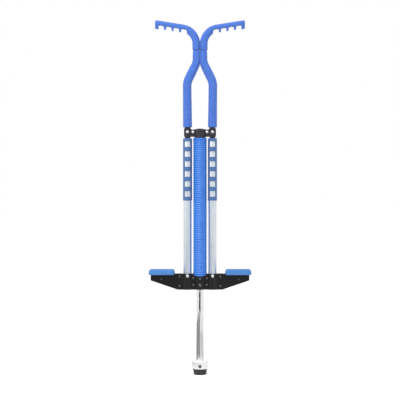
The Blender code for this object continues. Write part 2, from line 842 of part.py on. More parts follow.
def bracket_outline():
    inner = TUBE_X - LOBE_HALF
    outer = TUBE_X + LOBE_HALF
    low, high = LOBE_Z
    cut = LOBE_CHAMFER
    return mirrored_outline(
        [
            (CENTRE_HALF, BRACKET_BOTTOM_Z),
            (CENTRE_HALF, WAIST_Z[0]),
            (inner + cut - (WAIST_Z[0] - low), WAIST_Z[0]),
            (inner + cut, low),
            (outer - cut, low),
            (outer, low + cut),
            (outer, high - cut),
            (outer - cut, high),
            (inner + cut, high),
            (inner, high - cut),
            (inner, WAIST_Z[1]),
            (CENTRE_HALF, WAIST_Z[1]),
            (CENTRE_HALF, BRACKET_TOP_Z),
        ]
    )


def bracket_forms(bm):
    """The pressed ridges round the necks and the cap, before they are hollowed."""
    wall = PLATE_THICKNESS + GAP
    for side in SIDES.values():
        cylinder(bm, SOCKET_R + wall, *LOBE_Z, (side * TUBE_X, 0.0), RIDGE)
    cylinder(bm, BRACKET_RIDGE_R, BRACKET_BOTTOM_Z, BRACKET_TOP_Z, sides=RIDGE)


def bracket_bores(bm):
    low = BRACKET_BOTTOM_Z - PAST
    high = LOBE_Z[1] + PAST
    for side in SIDES.values():
        cylinder(bm, SOCKET_R + GAP, low, high, (side * TUBE_X, 0.0), RIDGE)
    cylinder(bm, CAP_R + GAP, low, high, sides=RIDGE)


def bracket_bolt_holes(bm):
    for side in SIDES.values():
        for x in BRACKET_BOLT_X:
            cylinder(
                bm, BRACKET_BOLT_R + GAP, -PAST, PAST, (side * x, BRACKET_BOLT_Z), HOLE, "Y"
            )


def make_bracket_plate(name, side, bolt_holes):
    plate = flat_plate(
        name, bracket_outline(), side, BRACKET_INNER_Y, PLATE_THICKNESS, BLACK_PAINT
    )
    carve(plate, cutter_from(name + "_forms", bracket_forms), "UNION")
    carve(plate, cutter_from(name + "_bores", bracket_bores))
    beyond = sorted((side * BRACKET_INNER_Y, -side * PAST))
    reach = TUBE_X + PAST
    low = LOBE_Z[0] - PAST
    high = LOBE_Z[1] + PAST
    back = cutter_from(
        name + "_back",
        lambda bm: box(bm, (-reach, beyond[0], low), (reach, beyond[1], high)),
    )
    carve(plate, back)
    carve(plate, bolt_holes)


def make_bracket_bolts():
    """Domed bolts: the inner pair pulls the plates together, the outer pair crosses the necks."""
    seats = (
        BRACKET_INNER_Y + PLATE_THICKNESS + GAP,
        SOCKET_R + PLATE_THICKNESS + 2 * GAP,
    )
    for side_name, side in SIDES.items():
        for place, x, seat in zip(("inner", "outer"), BRACKET_BOLT_X, seats):
            length = 2 * seat + BRACKET_NUT[1] + 1.2 * MM
            profile = bolt_profile(BRACKET_HEAD, BRACKET_BOLT_R, length)
            bolt = turned(f"bracket_bolt_{side_name}_{place}", profile, ZINC, SMALL)
            lay_along_y(bolt, side * x, -seat, BRACKET_BOLT_Z, FRONT)
            profile = nut_profile(BRACKET_NUT, BRACKET_BOLT_R)
            nut = turned(f"bracket_nut_{side_name}_{place}", profile, ZINC, 6)
            lay_along_y(nut, side * x, seat, BRACKET_BOLT_Z, REAR)


# Handles -----------------------------------------------------------------


def arc(centre, radius, start, end, steps):
    """Points (x, 0, z) on an arc, with its angles in radians from +X."""
    points = []
    for index in range(steps + 1):
        angle = start + (end - start) * index / steps
        x = centre[0] + radius * math.cos(angle)
        z = centre[1] + radius * math.sin(angle)
        points.append(Vector((x, 0.0, z)))
    return points


def rounded_corner(before, corner, after, radius, steps):
    """An arc that replaces a corner, tangent to both its legs."""
    into = (before - corner).normalized()
    out = (after - corner).normalized()
    half = into.angle(out) / 2
    reach = radius / math.tan(half)
    centre = corner + (into + out).normalized() * (radius / math.sin(half))
    first = corner + into * reach - centre
    last = corner + out * reach - centre
    sweep = first.angle(last)
    axis = first.cross(last).normalized()
    turns = [Matrix.Rotation(sweep * i / steps, 3, axis) for i in range(steps + 1)]
    return [centre + turn @ first for turn in turns]


def handle_path():
    """The right handle tube's centreline, from its foot to the end of its bar."""
    foot = Vector((TUBE_X, 0.0, HANDLE_BOTTOM_Z))
    lean = Vector((TUBE_X, 0.0, HANDLE_LEAN_Z))
    knee = Vector((KNEE[0], 0.0, KNEE[1]))
    neck = Vector((NECK_X, 0.0, NECK_START_Z))
    crook = Vector((NECK_X, 0.0, CROOK_Z))
    points = [foot, lean]
    points += rounded_corner(lean, knee, neck, BEND_R, 4)
    points += rounded_corner(knee, neck, crook, BEND_R, 4)
    centre = (NECK_X + CROOK_R, CROOK_Z)
    points += arc(centre, CROOK_R, math.pi, math.pi / 2 + BAR_SLOPE, 7)
    last = points[-1]
    run = BAR_END_X - last.x
    points.append(last + Vector((run, 0.0, run * math.tan(BAR_SLOPE))))
    return points


def grip_path():
    """The right finger grip's centreline, from the neck to the end of the bar."""
    points = [Vector((GRIP_NECK_X, 0.0, z)) for z in (GRIP_BOTTOM_Z, GRIP_BOTTOM_Z + 6 * MM)]
    centre = (GRIP_NECK_X + GRIP_CROOK_R, GRIP_CROOK_Z)
    points += arc(centre, GRIP_CROOK_R, math.pi, math.pi / 2 + BAR_SLOPE, 9)
    last = points[-1]
    for x in (GRIP_END_X - 5 * MM, GRIP_END_X - 1.5 * MM, GRIP_END_X):
        run = x - last.x
        points.append(last + Vector((run, 0.0, run * math.tan(BAR_SLOPE))))
    radii = [9.6 * MM, 11.2 * MM] + [GRIP_CROOK_FOAM_R] * 9
    radii += [GRIP_R + 0.2 * MM, GRIP_R, GRIP_R - 1 * MM, GRIP_R - 2.6 * MM]
    return points, radii


def stretch(points, low, high, more):
    """The part of a path between two heights, with extra points at the heights in more."""
    heights = [point.z for point in points]
    kept = [z for z in heights if low < z < high]
    wanted = sorted(set(kept + [low, high] + list(more)))
    xs = [point.x for point in points]
    return [Vector((float(np.interp(z, heights, xs)), 0.0, z)) for z in wanted]


def handed(points, side):
    return [Vector((side * point.x, point.y, point.z)) for point in points]


def make_handle_tube(side_name, side, bolt_holes):
    """The bent tube, open at its foot and plugged by the grip at its other end."""
    points = handed(handle_path(), side)
    tube = swept("handle_tube_" + side_name, points, [HANDLE_R] * len(points), BLACK_PAINT)
    past = 10 * MM
    first = points[0] + (points[0] - points[1]).normalized() * past
    last = points[-1] + (points[-1] - points[-2]).normalized() * past
    core = swept(
        "handle_core_" + side_name,
        [first] + points[1:-1] + [last],
        [HANDLE_R - HANDLE_WALL] * len(points),
        None,
        resolution=2,
    )
    carve(tube, core)
    carve(tube, bolt_holes)


def handle_bore(name, side, closed_end):
    """A cutter as wide as the handle tube plus its clearance."""
    points = handed(handle_path(), side)
    direction = (points[-1] - points[-2]).normalized()
    points[-1] = points[-1] + direction * (GAP if closed_end else 10 * MM)
    return swept(name, points, [HANDLE_R + GAP] * len(points), None)


def middle_cutter(name, side):
    """The half-space past the middle plane, where the two handles press together."""
    xs = sorted((side * GAP / 2, -side * PAST))
    low = NECK_START_Z - PAST
    high = BAR_TOP.z + PAST
    return cutter_from(
        name,
        lambda bm: box(bm, (xs[0], -PAST, low), (xs[1], PAST, high)),
    )


def make_socket(side_name, side, bolt_holes):
    """The moulded socket that holds a handle tube in the top of its frame tube."""
    plug_r = TUBE_R - TUBE_WALL - GAP
    bore = HANDLE_R + GAP
    shoulder = TUBE_TOP_Z - 0.5 * MM
    socket = turned(
        "handle_socket_" + side_name,
        [
            (SOCKET_R, SOCKET_TOP_Z),
            (SOCKET_R, shoulder),
            (plug_r, shoulder),
            (plug_r, SOCKET_BOTTOM_Z),
            (bore, SOCKET_BOTTOM_Z),
            (bore, SOCKET_TOP_Z),
        ],
        BLACK_PLASTIC,
        x=side * TUBE_X,
    )
    carve(socket, bolt_holes)


def make_foam(side_name, side):
    """The foam sleeve over the lower handle, seated over the top of its socket."""
    name = "handle_foam_" + side_name
    levels = [z * MM for z, _ in FOAM_RADII if FOAM_BOTTOM_Z < z * MM < FOAM_TOP_Z]
    points = handed(stretch(handle_path(), FOAM_BOTTOM_Z, FOAM_TOP_Z, levels), side)
    table_z = [z * MM for z, _ in FOAM_RADII]
    table_r = [radius * MM for _, radius in FOAM_RADII]
    radii = [float(np.interp(point.z, table_z, table_r)) for point in points]
    foam = swept(name, points, radii, BLUE_FOAM, resolution=4)
    carve(foam, handle_bore(name + "_bore", side, closed_end=False))
    socket_space = cutter_from(
        name + "_socket_space",
        lambda bm: cylinder(
            bm, SOCKET_R + GAP, FOAM_BOTTOM_Z - PAST, SOCKET_TOP_Z + GAP, (side * TUBE_X, 0.0)
        ),
    )
    carve(foam, socket_space)
    carve(foam, middle_cutter(name + "_middle", side))


def bar_top(x):
    """Height of the bar's upper edge at the place x."""
    return BAR_TOP.z + (x - BAR_TOP.x) * math.tan(BAR_SLOPE)


def grip_fin(name, side):
    """The web under the bar that the finger gaps are cut from."""
    outline = []
    for x, depth in (
        (FIN_START_X, GRIP_R),
        (FIN_START_X, GRIP_DEPTH),
        (GRIP_END_X, GRIP_DEPTH),
        (GRIP_END_X, GRIP_R),
    ):
        outline.append((side * x, bar_top(x) - depth))
    return flat_plate(name, outline, REAR, -FIN_HALF_Y, 2 * FIN_HALF_Y, None)


def finger_slot(bm):
    """One slot, open downwards, with its roof's middle at the origin and its roof's ends round."""
    box(bm, (-FINGER_HALF, -PAST, -PAST), (FINGER_HALF, PAST, 0.0))
    ends = []
    for edge in bm.edges:
        one, other = edge.verts
        if min(one.co.z, other.co.z) > -GAP and abs(one.co.x - other.co.x) < GAP:
            ends.append(edge)
    bmesh.ops.bevel(
        bm,
        geom=ends,
        affect="EDGES",
        offset=FINGER_CORNER,
        offset_type="OFFSET",
        segments=4,
        profile=0.5,
        material=-1,
    )


def finger_cutters(bm, side):
    """Slots square to the bar, one for each finger."""
    slot = mesh_from("finger_slot", finger_slot)
    tilt = Matrix.Rotation(-side * BAR_SLOPE, 4, "Y")
    for x in FINGER_X:
        before = set(bm.verts)
        bm.from_mesh(slot)
        made = [vert for vert in bm.verts if vert not in before]
        place = Matrix.Translation((side * x, 0.0, bar_top(x) - FINGER_ROOF))
        bmesh.ops.transform(bm, matrix=place @ tilt, verts=made)
    bpy.data.meshes.remove(slot)


def make_grip(side_name, side):
    """The finger grip: a moulding that follows the crook and the bar, with four finger gaps."""
    name = "finger_grip_" + side_name
    points, radii = grip_path()
    grip = swept(name, handed(points, side), radii, BLUE_FOAM, resolution=4)
    carve(grip, grip_fin(name + "_fin", side), "UNION")
    carve(grip, cutter_from(name + "_fingers", lambda bm: finger_cutters(bm, side)))
    carve(grip, handle_bore(name + "_bore", side, closed_end=True))
    carve(grip, middle_cutter(name + "_middle", side))


# Assembly ----------------------------------------------------------------


def main():
    tip, collar, foot_hole = make_foot()
    carve(tip, foot_hole)
    carve(collar, foot_hole)
    make_piston(foot_hole)
    make_spring()

    bushing = make_housing()
    carve(bushing, cutter_from("screw_pockets", screw_pockets))
    make_sleeve()

    big_holes = cutter_from("footrest_bolt_holes", big_bolt_holes)
    bracket_holes = cutter_from("bracket_bolt_holes", bracket_bolt_holes)
    make_footrest("footrest_plate_front", FRONT, big_holes)
    make_footrest("footrest_plate_rear", REAR, big_holes)
    make_rivets()
    make_screws()
    make_bracket_plate("bracket_plate_front", FRONT, bracket_holes)
    make_bracket_plate("bracket_plate_rear", REAR, bracket_holes)
    make_bracket_bolts()

    for side_name, side in SIDES.items():
        make_frame_tube(side_name, side, big_holes)
        make_big_bolt(side_name, side)
        make_step_pad(side_name, side)
        make_socket(side_name, side, bracket_holes)
        make_handle_tube(side_name, side, bracket_holes)
        make_foam(side_name, side)
        make_grip(side_name, side)


main()
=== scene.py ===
# %% [markdown]
# # A pogo stick, piece by piece
# The stick is 1.04 m tall. A chromed piston slides up into a twin-tube frame against a hidden coil
# spring. The solids of the working model arrive as a fixed frame, and every piece here is made to
# lie exactly where its solid lies. Lengths are written in millimetres and scaled once, when a mesh
# is finished, because a maker's drawing reads that way.

# %% The frame
import math

import bmesh
import bpy
from mathutils import Matrix, Vector


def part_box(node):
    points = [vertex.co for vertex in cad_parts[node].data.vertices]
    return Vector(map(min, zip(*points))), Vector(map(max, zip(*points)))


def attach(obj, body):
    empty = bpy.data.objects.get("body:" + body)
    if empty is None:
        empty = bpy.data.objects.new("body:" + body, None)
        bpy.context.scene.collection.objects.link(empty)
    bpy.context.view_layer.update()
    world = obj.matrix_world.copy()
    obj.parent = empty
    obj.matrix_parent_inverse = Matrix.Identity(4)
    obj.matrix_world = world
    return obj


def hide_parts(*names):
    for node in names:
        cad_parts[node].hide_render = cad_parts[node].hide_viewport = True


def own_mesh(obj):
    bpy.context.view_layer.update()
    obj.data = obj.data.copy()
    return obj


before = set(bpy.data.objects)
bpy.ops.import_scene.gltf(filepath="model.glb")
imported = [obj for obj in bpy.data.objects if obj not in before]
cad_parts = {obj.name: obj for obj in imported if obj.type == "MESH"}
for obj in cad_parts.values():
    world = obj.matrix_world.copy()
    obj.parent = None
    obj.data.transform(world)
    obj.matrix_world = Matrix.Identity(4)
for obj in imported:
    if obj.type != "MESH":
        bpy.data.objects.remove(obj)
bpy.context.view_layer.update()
MM = 0.001
FRONT = -1.0
REAR = 1.0
FACES = {"front": FRONT, "rear": REAR}
SIDES = {"left": -1.0, "right": 1.0}


# %% [markdown]
# ## Camera
# A product shot of something tall is taken from far away with a long lens, level with the object's
# middle. Its verticals then stay parallel, and the tops of the steps are seen edge on. The camera
# stands 3.2 m away, and a 98 mm lens frames a field 1.17 m high.

# %% Camera
CAMERA_DISTANCE = 3.2
CAMERA_HEIGHT = 0.512
LENS = 98.0
SENSOR = 36.0


def make_camera():
    data = bpy.data.cameras.new("studio_camera")
    data.lens = LENS
    data.sensor_width = SENSOR
    camera = bpy.data.objects.new("studio_camera", data)
    bpy.context.scene.collection.objects.link(camera)
    camera.location = (0.0, -CAMERA_DISTANCE, CAMERA_HEIGHT)
    camera.rotation_euler = (math.radians(90), 0.0, 0.0)
    bpy.context.scene.camera = camera
    return camera


print("camera lens", make_camera().data.lens, "mm")


# %% [markdown]
# ## Studio
# The floor and the air round the stick are both nearly white, so that the horizon disappears. Light
# then comes from everywhere, which suits foam and plastic but leaves chrome with nothing to mirror.
# A studio lays out grey and black cards for that. These show only in reflections. An upright mirror
# shows the floor in front of it, and more distant floor further up. So the cards that draw the
# piston's grey sides, and the dark line above them, lie flat and follow one another away from it.
# One more card stands up for the tubes and bolts.

# %% Studio
WHITE = (1.0, 1.0, 1.0, 1.0)
AIR = 1.0
FLOOR_RADIUS = 40.0
FLOOR_GREY = (0.86, 0.86, 0.86)
FLOOR_GLOW = 0.16
CARD_LAYER = 0.002
LIT_POINT = Vector((0.0, 0.0, 0.55))

# width, depth, middle x and y, layer and grey of the cards that lie flat
FLAT_CARDS = {
    "card_base": (30.0, 30.0, 0.0, 0.0, 1, 0.94),
    "card_near_left": (1.1, 1.68, -0.53, -0.24, 2, 0.33),
    "card_near_right": (0.56, 0.9, 0.38, -0.12, 2, 0.68),
    "card_middle": (0.32, 0.32, 0.0, 0.0, 3, 0.94),
    "card_mid": (0.6, 0.3, -0.15, -1.23, 3, 0.42),
    "card_line_near": (1.5, 0.82, -0.25, -1.79, 3, 0.03),
    "card_line_far": (2.6, 0.9, -0.4, -2.65, 3, 0.03),
    "card_far": (1.9, 2.2, 0.0, -4.1, 2, 0.05),
}


def plain(name, colour, roughness):
    material = bpy.data.materials.new(name)
    material.use_nodes = True
    shader = material.node_tree.nodes["Principled BSDF"]
    shader.inputs["Base Color"].default_value = (*colour, 1.0)
    shader.inputs["Roughness"].default_value = roughness
    return material


def make_surface(name, bm, colour, roughness, glow):
    """Part of the studio: matt paper that also glows by itself."""
    mesh = bpy.data.meshes.new(name)
    bm.to_mesh(mesh)
    bm.free()
    paper = plain(name, colour, roughness)
    shader = paper.node_tree.nodes["Principled BSDF"]
    shader.inputs["Specular IOR Level"].default_value = 0.0
    shader.inputs["Emission Color"].default_value = WHITE
    shader.inputs["Emission Strength"].default_value = glow
    mesh.materials.append(paper)
    surface = bpy.data.objects.new(name, mesh)
    bpy.context.scene.collection.objects.link(surface)
    return surface


def make_floor():
    bm = bmesh.new()
    bmesh.ops.create_circle(bm, cap_ends=True, segments=96, radius=FLOOR_RADIUS)
    make_surface("studio_floor", bm, FLOOR_GREY, 0.9, FLOOR_GLOW)


def make_card(name, width, height, place, grey, upright=False):
    """A plane of one grey, flat or standing up to face the object, seen only by reflections."""
    bm = bmesh.new()
    bmesh.ops.create_grid(bm, x_segments=1, y_segments=1, size=0.5)
    turn = Matrix.Rotation(math.radians(90 if upright else 0), 4, "X")
    bmesh.ops.transform(bm, matrix=turn @ Matrix.Diagonal((width, height, 1.0, 1.0)), verts=bm.verts)
    bmesh.ops.translate(bm, vec=place, verts=bm.verts)
    card = make_surface(name, bm, (0.0, 0.0, 0.0), 1.0, grey)
    card.visible_camera = False
    card.visible_diffuse = False
    card.visible_shadow = False


def make_softbox(name, place, size, power):
    """A large square light that faces the middle of the stick."""
    data = bpy.data.lights.new(name, "AREA")
    data.shape = "SQUARE"
    data.size = size
    data.energy = power
    light = bpy.data.objects.new(name, data)
    bpy.context.scene.collection.objects.link(light)
    light.location = place
    aim = LIT_POINT - Vector(place)
    light.rotation_euler = aim.to_track_quat("-Z", "Y").to_euler()
    light.visible_camera = False


world = bpy.data.worlds.new("studio_air")
world.use_nodes = True
world.node_tree.nodes["Background"].inputs["Color"].default_value = WHITE
world.node_tree.nodes["Background"].inputs["Strength"].default_value = AIR
bpy.context.scene.world = world
bpy.context.scene.view_settings.view_transform = "Standard"
make_floor()
for name, (width, depth, x, y, layer, grey) in FLAT_CARDS.items():
    make_card(name, width, depth, (x, y, layer * CARD_LAYER), grey)
make_card("card_front", 1.2, 3.4, (-0.25, -5.2, 1.75), 0.66, upright=True)
make_softbox("softbox_top", (-0.5, -1.2, 3.2), 1.6, 52.0)
make_softbox("softbox_left", (-2.2, -1.8, 1.9), 1.0, 14.0)
print("the studio has", len(FLAT_CARDS), "flat cards, an upright one and two lights")


# %% [markdown]
# ## Finishes
# Each finish starts as one shader with its constants set on the shader itself. What varies over the
# surface comes from noise read in object coordinates, in metres, so a scale of 1000 gives grains of
# about one millimetre. Three small helpers join the noise to colour, to gloss and to relief.

# %% Finish helpers
def finish(name, colour, roughness, metallic=0.0, specular=0.5):
    material = plain(name, colour, roughness)
    shader = material.node_tree.nodes["Principled BSDF"]
    shader.inputs["Metallic"].default_value = metallic
    shader.inputs["Specular IOR Level"].default_value = specular
    return material


def grain(material, scale, detail=3.0, stretch=(1.0, 1.0, 1.0)):
    """Noise over the surface: stretch below 1 along an axis draws the grain out along it."""
    nodes = material.node_tree.nodes
    links = material.node_tree.links
    place = nodes.new("ShaderNodeTexCoord")
    mapping = nodes.new("ShaderNodeMapping")
    mapping.inputs["Scale"].default_value = stretch
    noise = nodes.new("ShaderNodeTexNoise")
    noise.inputs["Scale"].default_value = scale
    noise.inputs["Detail"].default_value = detail
    links.new(place.outputs["Object"], mapping.inputs["Vector"])
    links.new(mapping.outputs["Vector"], noise.inputs["Vector"])
    return noise.outputs["Fac"]


def ranged(material, source, low, high, start=0.3, end=0.7):
    """The source between start and end becomes a number between low and high."""
    node = material.node_tree.nodes.new("ShaderNodeMapRange")
    node.inputs["From Min"].default_value = start
    node.inputs["From Max"].default_value = end
    node.inputs["To Min"].default_value = low
    node.inputs["To Max"].default_value = high
    material.node_tree.links.new(source, node.inputs["Value"])
    return node.outputs["Result"]


def tint(material, source, dark, light, start=0.3, end=0.7):
    """The base colour runs from dark to light with the source."""
    nodes = material.node_tree.nodes
    ramp = nodes.new("ShaderNodeValToRGB")
    ramp.color_ramp.elements[0].position = start
    ramp.color_ramp.elements[0].color = (*dark, 1.0)
    ramp.color_ramp.elements[1].position = end
    ramp.color_ramp.elements[1].color = (*light, 1.0)
    shader = nodes["Principled BSDF"]
    material.node_tree.links.new(source, ramp.inputs["Fac"])
    material.node_tree.links.new(ramp.outputs["Color"], shader.inputs["Base Color"])


def gloss(material, source, low, high):
    """The roughness runs from low to high with the source."""
    shader = material.node_tree.nodes["Principled BSDF"]
    material.node_tree.links.new(ranged(material, source, low, high), shader.inputs["Roughness"])


def relief(material, source, depth, strength=1.0):
    """Bumps of a given depth in millimetres. A second call lies on top of the first."""
    nodes = material.node_tree.nodes
    links = material.node_tree.links
    bump = nodes.new("ShaderNodeBump")
    bump.inputs["Distance"].default_value = depth * MM
    bump.inputs["Strength"].default_value = strength
    shader = nodes["Principled BSDF"]
    under = shader.inputs["Normal"].links
    if under:
        links.new(under[0].from_socket, bump.inputs["Normal"])
    links.new(source, bump.inputs["Height"])
    links.new(bump.outputs["Normal"], shader.inputs["Normal"])


# %% [markdown]
# ### Foam and rubber
# The handles wear closed-cell foam: dull, with pores just too small to count and slow patches where
# hands have pressed it. Rounded cells come from a Voronoi pattern, which plain noise can't give. The
# step pads are a firmer moulded rubber, and the tip a black one that picks up dust.

# %% Foam and rubber
def pores(material, scale):
    """Rounded cells, dark at their middles."""
    nodes = material.node_tree.nodes
    place = nodes.new("ShaderNodeTexCoord")
    cells = nodes.new("ShaderNodeTexVoronoi")
    cells.inputs["Scale"].default_value = scale
    material.node_tree.links.new(place.outputs["Object"], cells.inputs["Vector"])
    return cells.outputs["Distance"]


def make_foam_finish():
    foam = finish("blue_foam", (0.052, 0.137, 0.51), 0.8, specular=0.2)
    shader = foam.node_tree.nodes["Principled BSDF"]
    shader.inputs["Sheen Weight"].default_value = 0.12
    shader.inputs["Sheen Roughness"].default_value = 0.5
    tint(foam, grain(foam, 90.0), (0.048, 0.125, 0.45), (0.06, 0.148, 0.5))
    gloss(foam, grain(foam, 350.0), 0.72, 0.88)
    relief(foam, pores(foam, 1500.0), 0.12, 0.5)
    relief(foam, grain(foam, 160.0, 2.0), 0.25, 0.35)
    return foam


def make_pad_finish():
    pad = finish("pad_rubber", (0.045, 0.175, 0.45), 0.6, specular=0.3)
    tint(pad, grain(pad, 60.0), (0.04, 0.16, 0.42), (0.05, 0.19, 0.48))
    gloss(pad, grain(pad, 240.0), 0.5, 0.68)
    relief(pad, grain(pad, 1400.0), 0.05, 0.6)
    return pad


def make_tip_finish():
    rubber = finish("black_rubber", (0.03, 0.03, 0.032), 0.7, specular=0.3)
    tint(rubber, grain(rubber, 120.0, 5.0), (0.016, 0.016, 0.017), (0.05, 0.048, 0.045))
    gloss(rubber, grain(rubber, 300.0), 0.55, 0.85)
    relief(rubber, grain(rubber, 900.0), 0.08, 0.6)
    return rubber


BLUE_FOAM = make_foam_finish()
PAD_RUBBER = make_pad_finish()
BLACK_RUBBER = make_tip_finish()
print("foam and rubber:", [m.name for m in (BLUE_FOAM, PAD_RUBBER, BLACK_RUBBER)])


# %% [markdown]
# ### Moulded plastic
# The ribbed cover is a bright polypropylene with a soft shine. The windowed covers are the same blue
# plastic with a satin roughness, and their darker, duller colour is painted shade. Both carry the fine
# texture that a mould leaves. The black sockets and the cap are glass-filled nylon, which is greyer and
# rougher.

# %% Moulded plastic
def make_plastic_finish(name, dark, light, rough, specular, texture):
    plastic = finish(name, light, rough[0], specular=specular)
    tint(plastic, grain(plastic, 45.0), dark, light)
    gloss(plastic, grain(plastic, 300.0), *rough)
    relief(plastic, grain(plastic, 1800.0), texture, 0.5)
    return plastic


BLUE_GLOSS = make_plastic_finish(
    "blue_gloss", (0.028, 0.155, 0.56), (0.036, 0.175, 0.61), (0.22, 0.32), 0.45, 0.03
)
# painted shade: the ribbed cover's blue plastic, coloured darker and duller for the windowed covers
BLUE_SATIN_SHADED = make_plastic_finish(
    "blue_satin", (0.046, 0.118, 0.285), (0.055, 0.136, 0.32), (0.45, 0.58), 0.35, 0.05
)
BLACK_PLASTIC = make_plastic_finish(
    "black_plastic", (0.026, 0.026, 0.029), (0.042, 0.042, 0.047), (0.42, 0.58), 0.36, 0.06
)
NYLON = make_plastic_finish("nylon", (0.66, 0.65, 0.6), (0.72, 0.71, 0.66), (0.4, 0.55), 0.5, 0.03)
print("plastics:", [m.name for m in (BLUE_GLOSS, BLUE_SATIN_SHADED, BLACK_PLASTIC, NYLON)])


# %% [markdown]
# ### Metal and paint
# Bare metal is metallic 1 with its look in the roughness. Drawn tube has fine lines along its
# length, so its noise is stretched along Z. Chrome is a mirror with faint wiping marks, zinc shows
# its blotchy crystals, and powder paint has an orange-peel skin that rubs grey at the edges. Three
# finishes are a second version of another: a satin chrome, a dull zinc and a greyer paint.

# %% Metal and paint
def make_metal_finish(name, dark, light, rough, blotch, line_scale=0.0, stretch=(1.0, 1.0, 1.0)):
    metal = finish(name, light, rough[0], metallic=1.0)
    tint(metal, grain(metal, blotch, 4.0), dark, light)
    gloss(metal, grain(metal, blotch * 3.0, 3.0, stretch), *rough)
    if line_scale:
        relief(metal, grain(metal, line_scale, 2.0, stretch), 0.01, 0.35)
    return metal


def make_paint_finish(name, black, rough):
    """Black powder paint: the attribute "edge" says where it has rubbed thin."""
    paint = finish(name, black, rough[0], specular=0.3)
    nodes = paint.node_tree.nodes
    links = paint.node_tree.links
    edge = nodes.new("ShaderNodeAttribute")
    edge.attribute_name = "edge"
    worn = nodes.new("ShaderNodeMath")
    worn.operation = "MULTIPLY"
    links.new(edge.outputs["Fac"], worn.inputs[0])
    links.new(grain(paint, 350.0, 4.0), worn.inputs[1])
    tint(paint, worn.outputs["Value"], black, (0.07, 0.07, 0.075), 0.25, 0.6)
    gloss(paint, grain(paint, 260.0), *rough)
    relief(paint, grain(paint, 700.0, 1.0), 0.05, 0.5)
    return paint


ALONG_TUBE = (1.0, 1.0, 0.02)
WIPED = (1.0, 1.0, 0.2)
CHROME = make_metal_finish("chrome", (0.80, 0.81, 0.83), (0.86, 0.87, 0.88), (0.04, 0.1), 70.0, 0.0, WIPED)
SATIN_CHROME = make_metal_finish(
    "satin_chrome", (0.90, 0.91, 0.92), (0.95, 0.95, 0.96), (0.3, 0.42), 70.0, 0.0, WIPED
)
ALUMINIUM = make_metal_finish(
    "satin_aluminium", (0.66, 0.71, 0.76), (0.72, 0.76, 0.81), (0.44, 0.54), 60.0, 2500.0, ALONG_TUBE
)
ZINC = make_metal_finish("zinc_steel", (0.6, 0.61, 0.64), (0.78, 0.79, 0.81), (0.3, 0.42), 500.0)
DULL_ZINC = make_metal_finish("dull_zinc", (0.16, 0.16, 0.17), (0.28, 0.28, 0.29), (0.2, 0.34), 500.0)
DARK_STEEL = make_metal_finish("dark_steel", (0.09, 0.09, 0.098), (0.17, 0.17, 0.185), (0.28, 0.45), 400.0)
SPRING_STEEL = make_metal_finish("spring_steel", (0.14, 0.14, 0.15), (0.24, 0.24, 0.26), (0.25, 0.45), 300.0)
BLACK_PAINT = make_paint_finish("black_paint", (0.006, 0.006, 0.0072), (0.26, 0.38))
GREY_PAINT = make_paint_finish("grey_black_paint", (0.02, 0.02, 0.025), (0.36, 0.5))
METALS = (CHROME, SATIN_CHROME, ALUMINIUM, ZINC, DULL_ZINC, DARK_STEEL, SPRING_STEEL)
print("metals and paint:", [m.name for m in (*METALS, BLACK_PAINT, GREY_PAINT)])


# %% [markdown]
# ## Shaping helpers
# Most pieces are one of three things. A turned piece is a profile spun about an axis. A lofted piece
# is a row of rings, bridged one to the next. A pressed piece is a flat grid whose points are moved,
# and which a Solidify modifier then makes as thick as its sheet.

# %% Corners made round
def eased(corners, closed=False, steps=5):
    """A polyline of (x, z) or (x, z, radius) corners, where a radius turns a corner into an arc."""
    count = len(corners)
    points = []
    for index, corner in enumerate(corners):
        here = Vector(corner[:2])
        at_end = not closed and index in (0, count - 1)
        if len(corner) == 2 or at_end:
            points.append(here)
            continue
        before = Vector(corners[index - 1][:2]) - here
        after = Vector(corners[(index + 1) % count][:2]) - here
        half = before.angle(after) / 2
        reach = min(corner[2] / math.tan(half), 0.49 * before.length, 0.49 * after.length)
        radius = reach * math.tan(half)
        bisector = (before.normalized() + after.normalized()).normalized()
        centre = here + bisector * (radius / math.sin(half))
        start = here + before.normalized() * reach - centre
        sweep = math.copysign(math.pi - 2 * half, -before.cross(after))
        for step in range(steps + 1):
            points.append(centre + Matrix.Rotation(sweep * step / steps, 2) @ start)
    return points


print("an eased corner:", len(eased([(0, 0), (10, 0, 2), (10, 10)])), "points")


# %% Turned and lofted shapes
def turned(corners, steps=64, ring=True):
    """A spun profile of (radius, height, fillet) corners, upright on the Z axis.
    A ring's profile is a closed outline, and a solid's starts and ends on the axis."""
    bm = bmesh.new()
    profile = eased(corners, closed=ring)
    verts = [bm.verts.new((point.x, 0.0, point.y)) for point in profile]
    edges = [bm.edges.new(pair) for pair in zip(verts, verts[1:])]
    if ring:
        edges.append(bm.edges.new((verts[-1], verts[0])))
    geom = verts + edges
    around = {"cent": (0.0, 0.0, 0.0), "axis": (0.0, 0.0, 1.0), "angle": 2 * math.pi}
    bmesh.ops.spin(bm, geom=geom, **around, steps=steps, use_merge=True)
    bmesh.ops.remove_doubles(bm, verts=bm.verts, dist=0.001)
    bmesh.ops.recalc_face_normals(bm, faces=bm.faces)
    return bm


def edge_loop(bm, points):
    """A closed loop of edges through the points."""
    verts = [bm.verts.new(point) for point in points]
    return [bm.edges.new((verts[i - 1], verts[i])) for i in range(len(verts))]


def lofted(rings, joined=False):
    """Rings of points with equal counts, bridged in order, and capped or joined end to end."""
    bm = bmesh.new()
    loops = [edge_loop(bm, points) for points in rings]
    pairs = list(zip(loops, loops[1:]))
    if joined:
        pairs.append((loops[-1], loops[0]))
    for one, other in pairs:
        bmesh.ops.bridge_loops(bm, edges=one + other)
    if not joined:
        for loop in (loops[0], loops[-1]):
            bmesh.ops.contextual_create(bm, geom=loop)
    bmesh.ops.recalc_face_normals(bm, faces=bm.faces)
    return bm


# %% Finishing a piece
SMOOTH_UP_TO = math.radians(40)


